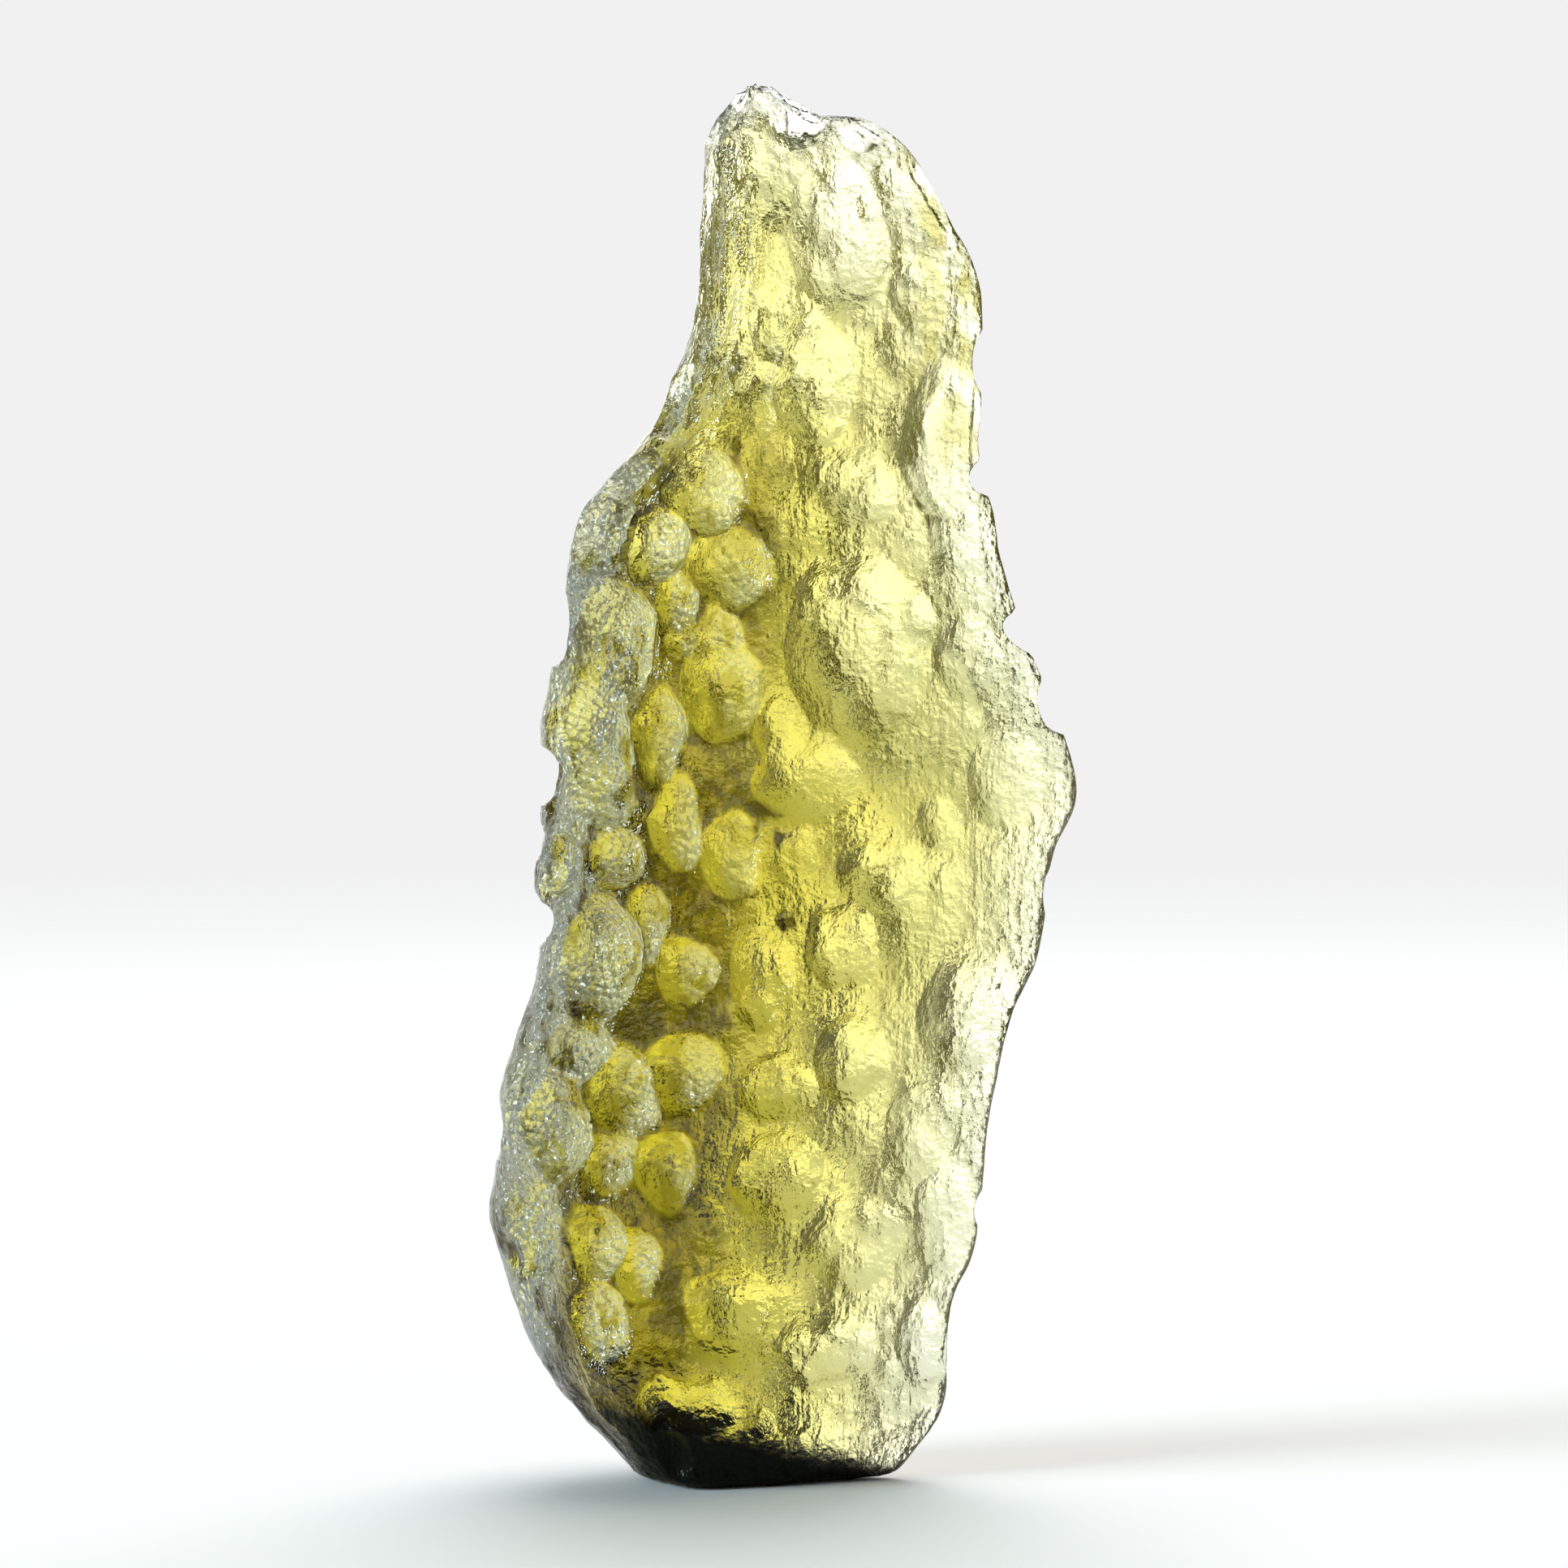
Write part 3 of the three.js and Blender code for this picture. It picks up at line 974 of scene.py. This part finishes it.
@dataclass
class Stone:
    """The moldavite itself, one closed piece."""

    blank: Blank = field(default_factory=Blank)
    finish: TektiteGlass = field(default_factory=TektiteGlass)
    columns: int = 80
    rows: int = 75
    levels: int = 2
    bowl: float = 1.4
    facet_turn: float = 0.6
    notch_width: float = 2.2
    facet_pits: tuple[Pit, ...] = (
        Pit(-5.0, 25.8, 1.7, 2.1, 1.14), Pit(-5.5, 23.0, 1.6, 2.2, 1.08), Pit(-5.4, 16.4, 1.7, 2.0, 1.32),
        Pit(-6.8, 11.2, 1.6, 1.8, 0.96), Pit(-4.5, 12.3, 1.3, 1.75, 1.14), Pit(-5.4, 29.2, 1.3, 1.4, 0.96),
        Pit(-2.1, 30.6, 1.5, 1.35, 1.14), Pit(-1.3, 28.3, 1.5, 1.45, 1.08), Pit(-3.5, 28.9, 1.1, 1.25, 0.96),
        Pit(-1.4, 24.4, 1.4, 1.5, 1.14), Pit(-3.4, 23.0, 0.85, 1.5, 0.9), Pit(-2.9, 27.2, 0.7, 0.9, 0.6),
        Pit(-2.6, 26.0, 0.55, 0.75, 0.48), Pit(-5.3, 21.2, 1.3, 0.95, 0.72), Pit(-4.9, 19.4, 1.2, 0.95, 0.78),
        Pit(-6.5, 19.2, 0.9, 0.9, 0.6), Pit(-3.75, 17.5, 0.8, 1.3, 0.72), Pit(-6.1, 13.6, 1.6, 1.15, 0.9),
        Pit(-4.9, 10.2, 1.1, 1.05, 0.84), Pit(-2.6, 12.9, 1.2, 1.3, 1.02), Pit(-3.1, 9.9, 1.1, 1.3, 0.96),
        Pit(-5.4, 7.6, 1.1, 1.3, 0.72), Pit(-7.5, 7.9, 1.2, 1.5, 0.6), Pit(-5.5, 5.2, 1.2, 1.3, 0.6),
        Pit(-4.0, 6.9, 0.8, 1.2, 0.6), Pit(-3.1, 33.2, 0.9, 1.2, 0.48), Pit(-4.3, 31.0, 1.0, 0.8, 0.54),
    )
    # Patches of painted shade in the gaps between the pits, mostly at the left and the centre.
    gap_shades: tuple[GapShade, ...] = (
        GapShade(-3.15, 30.9, 0.5, 0.8), GapShade(-1.1, 31.7, 0.3, 0.5), GapShade(-2.3, 29.4, 0.5, 0.3),
        GapShade(-2.15, 26.8, 0.6, 0.8), GapShade(-2.0, 25.2, 0.5, 1.0), GapShade(-1.2, 25.9, 0.3, 0.5),
        GapShade(-2.25, 23.0, 0.5, 0.4), GapShade(-2.75, 22.3, 0.3, 0.4), GapShade(-3.7, 21.6, 0.4, 0.3),
        GapShade(-0.3, 20.8, 0.6, 0.35), GapShade(-0.8, 20.0, 0.3, 0.25), GapShade(0.25, 20.0, 0.3, 0.3),
        GapShade(-0.4, 18.2, 0.4, 0.3), GapShade(-2.1, 17.0, 0.5, 0.25), GapShade(0.5, 17.4, 0.35, 0.25),
        GapShade(-2.8, 15.2, 0.25, 0.4), GapShade(-3.75, 14.6, 0.4, 0.3), GapShade(-1.3, 14.4, 0.3, 0.5),
        GapShade(-5.5, 14.75, 1.2, 0.35), GapShade(-3.2, 12.9, 0.5, 0.7), GapShade(-5.4, 12.3, 0.3, 0.3),
        GapShade(-3.1, 11.1, 0.4, 0.3), GapShade(-4.5, 10.9, 0.5, 0.3), GapShade(-3.4, 9.9, 0.6, 0.8),
        GapShade(-2.7, 9.9, 0.5, 0.6), GapShade(-1.9, 8.2, 0.3, 0.5), GapShade(5.2, 29.6, 0.8, 0.3),
        GapShade(4.5, 30.2, 0.5, 0.35), GapShade(5.9, 29.2, 0.5, 0.25), GapShade(1.1, 41.35, 0.5, 0.2),
        GapShade(2.75, 41.05, 0.5, 0.2),
    )
    front_pits: tuple[Pit, ...] = (
        Pit(1.1, 41.7, 0.6, 0.5, 0.6), Pit(2.7, 41.3, 0.6, 0.6, 0.6), Pit(2.1, 38.2, 1.6, 2.6, 0.9),
        Pit(4.5, 36.6, 1.0, 1.05, 0.4), Pit(0.0, 35.4, 0.55, 1.05, 0.42), Pit(1.4, 33.8, 1.3, 2.0, 0.6),
        Pit(-0.3, 33.2, 0.7, 1.2, 0.48), Pit(5.3, 32.0, 1.4, 2.4, 0.6), Pit(2.6, 30.6, 1.3, 1.2, 0.6),
        Pit(5.8, 29.1, 1.05, 1.0, 0.35), Pit(2.7, 25.8, 2.4, 3.2, 1.27), Pit(-1.6, 25.8, 0.95, 1.4, 0.68),
        Pit(0.3, 23.3, 0.8, 1.1, 0.6), Pit(1.0, 21.7, 1.8, 1.25, 0.75), Pit(6.0, 25.4, 1.1, 1.5, 0.35),
        Pit(7.2, 21.6, 1.2, 1.5, 0.4), Pit(5.2, 20.3, 0.75, 0.85, 0.3), Pit(-2.75, 20.5, 0.85, 1.5, 0.68),
        Pit(-1.2, 19.4, 1.05, 1.3, 0.63), Pit(3.4, 18.8, 1.4, 1.2, 0.52), Pit(2.2, 16.8, 1.2, 1.4, 0.72),
        Pit(-2.5, 16.0, 0.95, 1.15, 0.63), Pit(-0.3, 15.9, 1.0, 1.5, 0.63), Pit(6.0, 14.7, 1.5, 1.9, 0.5),
        Pit(2.4, 13.2, 1.2, 1.3, 0.6), Pit(0.25, 12.3, 1.3, 0.95, 0.6), Pit(4.6, 11.0, 1.2, 1.6, 0.35),
        Pit(0.2, 9.7, 1.6, 1.4, 0.6), Pit(5.3, 8.0, 1.0, 2.0, 0.38), Pit(2.5, 7.5, 1.6, 1.5, 0.6),
        Pit(-1.3, 5.7, 1.4, 1.3, 0.57), Pit(1.8, 4.1, 1.7, 1.0, 0.63), Pit(4.7, 4.2, 0.95, 1.4, 0.32),
        Pit(-2.4, 2.7, 1.5, 0.9, 0.52),
    )
    notches: tuple[tuple[Side, Notch], ...] = (
        (Side.LEFT, Notch(10.9, 1.15, 0.45)), (Side.LEFT, Notch(17.3, 0.8, 0.75)),
        (Side.LEFT, Notch(19.9, 0.7, 0.35)), (Side.LEFT, Notch(21.8, 1.0, 0.85)),
        (Side.LEFT, Notch(26.4, 1.3, 0.6)), (Side.RIGHT, Notch(8.3, 0.6, 0.3)),
        (Side.RIGHT, Notch(18.1, 0.8, 0.25)), (Side.RIGHT, Notch(24.2, 1.0, 0.5)),
        (Side.RIGHT, Notch(26.3, 0.75, 0.75)), (Side.RIGHT, Notch(31.0, 0.7, 0.5)),
        (Side.RIGHT, Notch(34.4, 1.1, 0.38)),
    )
    back_pit_count: int = 58
    back_pit_spread: Span = (0.7548777, 0.5698403)
    back_pit_radius: Span = (0.9, 1.9)
    back_pit_up: Span = (0.06, 0.95)
    back_pit_across: Span = (-0.86, 0.86)
    back_pit_depth_share: float = 0.24
    back_pit_fade: float = 0.6
    lit_start: float = 0.45
    pit_tallness: float = 1.25
    strewn: tuple[Strewn, ...] = (
        Strewn(160, (0.6, 1.1), 0.25, 1.2, (-9.0, 3.0), 5, (0.0, 9.0)),
        Strewn(260, (0.4, 0.8), 0.32, 1.25, (-8.5, 1.8), 11, (-9.0, -0.5)),
        Strewn(160, (0.35, 0.7), 0.16, 1.3, (-9.0, 6.0), 3),
        Strewn(420, (0.2, 0.36), 0.18, 1.4, (-9.0, 9.0), 8),
    )
    under_relief: tuple[Relief, ...] = (
        Relief("hammered", Grain.DIMPLES, (1.9, 1.9, 2.5), 8.0, 0.14, 0.3),
    )
    over_relief: tuple[Relief, ...] = (
        Relief("dimpled", Grain.DIMPLES, (0.8, 0.8, 1.0), -5.0, 0.1, 0.3),
        Relief("flow", Grain.WAVES, (0.26, 0.26, 6.0), 5.0, 0.06),
        Relief("lumps", Grain.WAVES, (0.6, 0.6, 0.8), 0.0, 0.04),
    )
    calm_x: Span = (-2.0, 4.0)
    calm_share: float = 0.35
    calm_steps: float = 16.0
    least_gap: float = 0.14
    warp_size: float = 1.3
    warp_reach: float = 0.28
    strewn_warp: Span = (0.3, 0.25)
    softness: float = 0.2
    foot_band: float = 0.02
    settled_band: float = 0.03

    def build(self) -> bpy.types.Object:
        """Builds and dresses the stone.

        Returns:
            The finished object.
        """
        stone = self._cage()
        self._draw_onto_skin(stone)
        self._subdivide(stone)
        sides = self._sides(stone)
        for relief in self.under_relief:
            self._raise(stone, relief)
        self._pit(stone)
        for relief in self.over_relief:
            self._raise(stone, relief)
        self._keep_apart(stone, sides)
        self._soften(stone)
        self._settle(stone)
        stone.data.materials.append(self.finish.make())
        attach(stone, "root")
        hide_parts("moldavite")
        return stone

    def _cage(self) -> bpy.types.Object:
        """Adds a cylinder of unit size and divides its wall into rings.

        Returns:
            The cylinder.
        """
        bpy.ops.object.select_all(action="DESELECT")
        bpy.ops.mesh.primitive_cylinder_add(
            vertices=self.columns, radius=1.0, depth=1.0, end_fill_type="TRIFAN"
        )
        stone = bpy.context.object
        stone.name = "stone"
        bpy.ops.object.mode_set(mode="EDIT")
        bpy.ops.mesh.select_mode(type="EDGE")
        bpy.ops.mesh.select_all(action="DESELECT")
        bpy.ops.object.mode_set(mode="OBJECT")
        points = stone.data.vertices
        for edge in stone.data.edges:
            low, high = (points[i].co.z for i in edge.vertices)
            edge.select = abs(low - high) > 0.5
        bpy.ops.object.mode_set(mode="EDIT")
        bpy.ops.mesh.subdivide(number_cuts=self.rows - 1)
        bpy.ops.object.mode_set(mode="OBJECT")
        return stone

    def _draw_onto_skin(self, stone: bpy.types.Object) -> None:
        """Moves every point of the cylinder onto the skin of the blank.

        Args:
            stone: the cylinder.
        """
        points = self._points(stone)
        up = (points[:, 2] + 0.5) * self.blank.last_ring
        turn = (np.arctan2(points[:, 1], points[:, 0]) / (2.0 * np.pi) + 0.5) % 1.0
        drawn = self.blank.skin(up, turn)
        on_axis = np.hypot(points[:, 0], points[:, 1]) < 0.5
        drawn[on_axis & (points[:, 2] < 0)] = (0.0, 0.0, 0.0)
        drawn[on_axis & (points[:, 2] > 0)] = (self.blank.tip[0], 0.0, self.blank.tip[1])
        self._set_points(stone, drawn)

    def _subdivide(self, stone: bpy.types.Object) -> None:
        """Subdivides the blank smoothly.

        Args:
            stone: the blank.
        """
        finer = stone.modifiers.new("finer", "SUBSURF")
        finer.levels = finer.render_levels = self.levels
        bpy.ops.object.modifier_apply(modifier=finer.name)

    def _pit(self, stone: bpy.types.Object) -> None:
        """Presses every pit and notch, marks the points for the finish, and strews the small pits.

        Args:
            stone: the subdivided blank.
        """
        points = self._points(stone)
        points[points[:, 2] < self.foot_band, 2] = 0.0
        skin = Skin(points, self.bowl, self.warp_size, self.warp_reach)
        scoop, lit = self._press_front(skin)
        self._press_notches(skin)
        self._press_back(skin)
        self._set_points(stone, skin.points)
        marks = {Mark.SOIL: self._gap_shade_marks(skin.points), Mark.SCOOP: scoop, Mark.LIT: lit}
        for mark, shares in marks.items():
            attribute = stone.data.attributes.new(mark.value, "FLOAT", "POINT")
            attribute.data.foreach_set("value", np.clip(shares, 0.0, 1.0).astype(np.float32))
        for scatter in self.strewn:
            self._strew(stone, scatter)

    def _press_front(self, skin: Skin) -> tuple[np.ndarray, np.ndarray]:
        """Presses the pits of the left facet and of the front.

        Args:
            skin: the skin to press them into.

        Returns:
            For each point, how deep it lies in a pit, and how much of that is on the pit's lit right half.
        """
        scoop = np.zeros(len(skin.points))
        lit = np.zeros(len(skin.points))
        for pit in (*self.facet_pits, *self.front_pits):
            centre, outward = self.blank.skin_and_normal(*self.blank.front_place(pit.x, pit.z))
            if pit in self.facet_pits:
                outward = outward * (1.0 - self.facet_turn) + np.array([0.0, -self.facet_turn, 0.0])
                outward /= np.linalg.norm(outward)
            moved = skin.press(centre, outward, (pit.width, pit.height, pit.depth))
            # The lit right half of each pit carries the painted sheen.
            rightwards = (skin.points[:, 0] - pit.x) / pit.width + self.lit_start
            scoop = np.maximum(scoop, moved)
            lit = np.maximum(lit, moved * np.clip(rightwards, 0.0, 1.0))
        return scoop, lit

    def _press_notches(self, skin: Skin) -> None:
        """Presses the notches into the two edges.

        Args:
            skin: the skin to press them into.
        """
        for side, notch in self.notches:
            edge = self.blank.left if side is Side.LEFT else self.blank.right
            x, z = edge.at(np.array([edge.share_at_height(notch.z)]))[0]
            size = (self.notch_width, notch.height, notch.depth)
            skin.press(np.array([x, 0.0, z]), np.array([side.value, 0.0, 0.0]), size)

    def _press_back(self, skin: Skin) -> None:
        """Presses pits into the back, evenly spread, and shallower towards the thin right rim.

        Args:
            skin: the skin to press them into.
        """
        for i in range(self.back_pit_count):
            a, b = ((0.5 + i * ratio) % 1.0 for ratio in self.back_pit_spread)
            up = self.back_pit_up[0] + (self.back_pit_up[1] - self.back_pit_up[0]) * a
            across = self.back_pit_across[0] + (self.back_pit_across[1] - self.back_pit_across[0]) * b
            low, high = self.back_pit_radius
            radius = low + (high - low) * ((a + 3.0 * b) % 1.0)
            depth = radius * self.back_pit_depth_share * (1.0 - self.back_pit_fade * max(across, 0.0))
            centre, outward = self.blank.skin_and_normal(up, 1.0 - self.blank.turn_at(across))
            skin.press(centre, outward, (radius, radius * self.pit_tallness, depth))

    def _gap_shade_marks(self, points: np.ndarray) -> np.ndarray:
        """Lays the patches of painted shade on the front.

        Args:
            points: the points of the pitted skin.

        Returns:
            How much painted shade each point takes.
        """
        soil = np.zeros(len(points))
        for shade_spot in self.gap_shades:
            reach = np.hypot((points[:, 0] - shade_spot.x) / shade_spot.width, (points[:, 2] - shade_spot.z) / shade_spot.height)
            soil = np.maximum(soil, np.exp(-0.5 * reach**2) * (points[:, 1] < 0.0))
        return soil

    def _strew(self, stone: bpy.types.Object, scatter: Strewn) -> None:
        """Presses a scatter of small pits, each at a point of the skin as it now is.

        Args:
            stone: the pitted stone.
            scatter: how many, how large and where.
        """
        chance = np.random.default_rng(scatter.seed)
        size, reach = self.strewn_warp
        skin = Skin(self._points(stone), self.bowl, self.warp_size * size, self.warp_reach * reach)
        start = skin.points.copy()
        outward = np.empty(len(start) * 3)
        stone.data.vertices.foreach_get("normal", outward)
        outward = outward.reshape(-1, 3)
        for index in chance.choice(len(start), scatter.count, replace=False):
            radius = chance.uniform(*scatter.radius)
            x, y, z = start[index]
            if z < radius or not scatter.reach_x[0] < x < scatter.reach_x[1]:
                continue
            if not scatter.reach_y[0] < y < scatter.reach_y[1]:
                continue
            print_size = (radius, radius * scatter.tallness, radius * scatter.depth_share)
            skin.press(start[index], outward[index], print_size)
        self._set_points(stone, skin.points)

    def _raise(self, stone: bpy.types.Object, relief: Relief) -> None:
        """Raises one kind of relief over the whole skin.

        Args:
            stone: the stone.
            relief: what to raise.
        """
        texture = bpy.data.textures.new(relief.name, relief.grain.value)
        texture.noise_scale = 1.0
        if relief.grain is Grain.DIMPLES:
            texture.distance_metric = "DISTANCE_SQUARED"
        else:
            texture.noise_depth = 2
        bpy.ops.object.empty_add(rotation=(0.0, math.radians(relief.lean), 0.0))
        guide = bpy.context.object
        guide.scale = relief.size
        bpy.ops.object.select_all(action="DESELECT")
        stone.select_set(True)
        bpy.context.view_layer.objects.active = stone
        weights = stone.vertex_groups.new(name=relief.name)
        x = self._points(stone)[:, 0]
        calm = np.clip((x - self.calm_x[0]) / (self.calm_x[1] - self.calm_x[0]), 0.0, 1.0)
        steps = np.round((1.0 - (1.0 - self.calm_share) * calm) * self.calm_steps).astype(int)
        for step in np.unique(steps):
            weights.add(np.flatnonzero(steps == step).tolist(), step / self.calm_steps, "REPLACE")
        shift = stone.modifiers.new(relief.name, "DISPLACE")
        shift.vertex_group = weights.name
        shift.texture = texture
        shift.texture_coords = "OBJECT"
        shift.texture_coords_object = guide
        shift.strength = relief.height
        shift.mid_level = relief.level
        bpy.ops.object.modifier_apply(modifier=shift.name)
        stone.vertex_groups.clear()
        bpy.data.objects.remove(guide)
        bpy.data.textures.remove(texture)

    def _sides(self, stone: bpy.types.Object) -> np.ndarray:
        """Tells the front of the unpitted blank from its back.

        Args:
            stone: the subdivided blank.

        Returns:
            For each point -1 in front, 1 behind, and 0 on the rims and the foot.
        """
        points = self._points(stone)
        standing = points[:, 1] - eased(self.blank.mid_plane, points[:, 2])
        on_rim = (np.abs(standing) < self.least_gap) | (points[:, 2] < self.least_gap)
        return np.where(on_rim, 0.0, np.sign(standing))

    def _keep_apart(self, stone: bpy.types.Object, sides: np.ndarray) -> None:
        """Keeps the pits of the front and the back from breaking through the thin edges.

        Args:
            stone: the pitted stone.
            sides: which side each point belongs to.
        """
        points = self._points(stone)
        middle = eased(self.blank.mid_plane, points[:, 2])
        near = (sides != 0.0) & ((points[:, 1] - middle) * sides < self.least_gap)
        points[near, 1] = (middle + sides * self.least_gap)[near]
        self._set_points(stone, points)

    def _soften(self, stone: bpy.types.Object) -> None:
        """Rounds the rims a little.

        Args:
            stone: the pitted stone.
        """
        soften = stone.modifiers.new("soften", "SMOOTH")
        soften.factor = self.softness
        soften.iterations = 1
        bpy.ops.object.modifier_apply(modifier=soften.name)

    def _settle(self, stone: bpy.types.Object) -> None:
        """Flattens the foot, turns millimetres into metres, and shades the skin smooth.

        Args:
            stone: the stone in millimetres.
        """
        points = self._points(stone)
        points[:, 2] = np.maximum(points[:, 2], 0.0)
        points[points[:, 2] < self.settled_band, 2] = 0.0
        self._set_points(stone, points * MM)
        bpy.ops.object.shade_smooth()

    @staticmethod
    def _points(stone: bpy.types.Object) -> np.ndarray:
        """Reads the points of a mesh.

        Args:
            stone: the object.

        Returns:
            Its points.
        """
        flat = np.empty(len(stone.data.vertices) * 3)
        stone.data.vertices.foreach_get("co", flat)
        return flat.reshape(-1, 3)

    @staticmethod
    def _set_points(stone: bpy.types.Object, points: np.ndarray) -> None:
        """Moves the points of a mesh.

        Args:
            stone: the object.
            points: their new places.
        """
        stone.data.vertices.foreach_set("co", points.ravel())
        stone.data.update()


@dataclass(frozen=True)
class Panel:
    """A soft panel of light: the way it lies, its height and reach as angles, and how bright it is."""

    towards: float
    height: float
    reach: Span
    light: float


@dataclass(frozen=True)
class Lamp:
    """A square soft light: where it hangs, the length of its side, its power and its colour."""

    name: str
    place: Place
    size: float
    power: float
    colour: Place


@dataclass
class Studio:
    """A pale floor, soft light from behind and beside, and the camera."""

    floor_size: float = 3.0
    lens: float = 120.0
    sensor: float = 36.0
    clip: Span = (0.01, 10.0)
    frame_height: float = PHOTO_SIDE / PIXELS_TO_MM * MM
    aim: Place = (0.0004, 0.0, 0.02150)
    elevation: float = 2.0
    panel: Panel = Panel(84.0, 16.0, (2.0, 49.0), 1.9)
    box: Panel = Panel(200.0, 20.0, (8.0, 15.0), 22.0)
    lamp: Lamp = Lamp("top_soft", (0.05, 0.2, 0.5), 0.4, 2.4, (1.0, 0.99, 0.96))
    white: Colour = (1.0, 1.0, 1.0, 1.0)
    box_colour: Colour = (0.74, 0.93, 1.0, 1.0)
    room_light: float = 0.12
    backdrop_light: float = 0.88
    bounces: int = 10
    glossy_bounces: int = 4

    def build(self) -> None:
        """Builds the studio."""
        self._floor()
        self._light()
        self._hang_lamp()
        self._camera()

    def _floor(self) -> None:
        """Lays the floor."""
        bpy.ops.object.select_all(action="DESELECT")
        bpy.ops.mesh.primitive_plane_add(size=self.floor_size, location=(0.0, 0.0, 0.0))
        floor = bpy.context.object
        floor.name = "floor"
        floor.data.materials.append(PaleMatt().make())

    def _light(self) -> None:
        """Lights the studio: a broad panel behind, a small cool box at the left, and a dim room.

        The camera sees a plain backdrop in their place, and the box doesn't show through the glass.
        """
        world = bpy.data.worlds.new("studio")
        bpy.context.scene.world = world
        world.use_nodes = True
        shader = Shader(world.node_tree)
        way = shader.node("ShaderNodeTexCoord", out="Generated")
        parts = shader.parts(way)
        white = shader.node(
            "ShaderNodeBackground",
            sockets={"Color": self.white, "Strength": self._glow(shader, parts, self.panel) + self.room_light},
        )
        through = shader.node("ShaderNodeLightPath", out="Is Transmission Ray")
        cool = shader.node(
            "ShaderNodeBackground",
            sockets={
                "Color": self.box_colour,
                "Strength": self._glow(shader, parts, self.box) * (1.0 - through),
            },
        )
        lights = shader.node("ShaderNodeAddShader", sockets={0: white, 1: cool})
        backdrop = shader.node(
            "ShaderNodeBackground",
            sockets={"Color": self.white, "Strength": self.backdrop_light},
        )
        seen = shader.node("ShaderNodeLightPath", out="Is Camera Ray")
        surface = shader.node("ShaderNodeMixShader", sockets={0: seen, 1: lights, 2: backdrop})
        shader.node("ShaderNodeOutputWorld", sockets={"Surface": surface})

    @staticmethod
    def _glow(shader: Shader, way: tuple[Wire, ...], panel: Panel) -> Wire:
        """Gives the light that comes from one panel.

        Args:
            shader: the world's nodes.
            way: the three parts of the direction looked in.
            panel: the panel.

        Returns:
            How strong its light is in that direction.
        """
        turn, rise = math.radians(panel.towards), math.radians(panel.height)
        middle = (math.cos(turn) * math.cos(rise), math.sin(turn) * math.cos(rise), math.sin(rise))
        facing = way[0] * middle[0] + way[1] * middle[1] + way[2] * middle[2]
        inner, outer = (math.cos(math.radians(angle)) for angle in panel.reach)
        return shader.ramp(facing, outer, inner, 0.0, panel.light)

    def _hang_lamp(self) -> None:
        """Hangs the lamp, which looks at the middle of the stone and isn't seen by the camera."""
        bpy.ops.object.light_add(type="AREA", location=self.lamp.place)
        lamp = bpy.context.object
        lamp.name = self.lamp.name
        lamp.data.size = self.lamp.size
        lamp.data.energy = self.lamp.power
        lamp.data.color = self.lamp.colour
        lamp.rotation_mode = "QUATERNION"
        lamp.rotation_quaternion = (Vector(self.aim) - Vector(self.lamp.place)).to_track_quat("-Z", "Y")
        lamp.visible_camera = False

    def _camera(self) -> None:
        """Places the camera at the photograph's angle and framing, and limits how often light bounces."""
        scene = bpy.context.scene
        data = bpy.data.cameras.new("camera")
        data.lens = self.lens
        data.sensor_width = self.sensor
        distance = self.frame_height * self.lens / data.sensor_width
        camera = bpy.data.objects.new("camera", data)
        scene.collection.objects.link(camera)
        rise = math.radians(self.elevation)
        back = Vector((0.0, -math.cos(rise), math.sin(rise)))
        camera.location = Vector(self.aim) + back * distance
        camera.rotation_mode = "QUATERNION"
        camera.rotation_quaternion = (-back).to_track_quat("-Z", "Y")
        data.clip_start, data.clip_end = self.clip
        scene.camera = camera
        scene.view_settings.view_transform = "Standard"
        scene.cycles.max_bounces = self.bounces
        scene.cycles.transmission_bounces = self.bounces
        scene.cycles.glossy_bounces = self.glossy_bounces


def main() -> None:
    """Builds the stone and the studio."""
    logging.basicConfig(level=logging.INFO, format="%(name)s: %(message)s")
    stone = Stone().build()
    LOG.info("%s has %d faces", stone.name, len(stone.data.polygons))
    Studio().build()
    LOG.info("studio is lit, camera at %s", tuple(round(c, 4) for c in bpy.context.scene.camera.location))


if __name__ == "__main__":
    main()
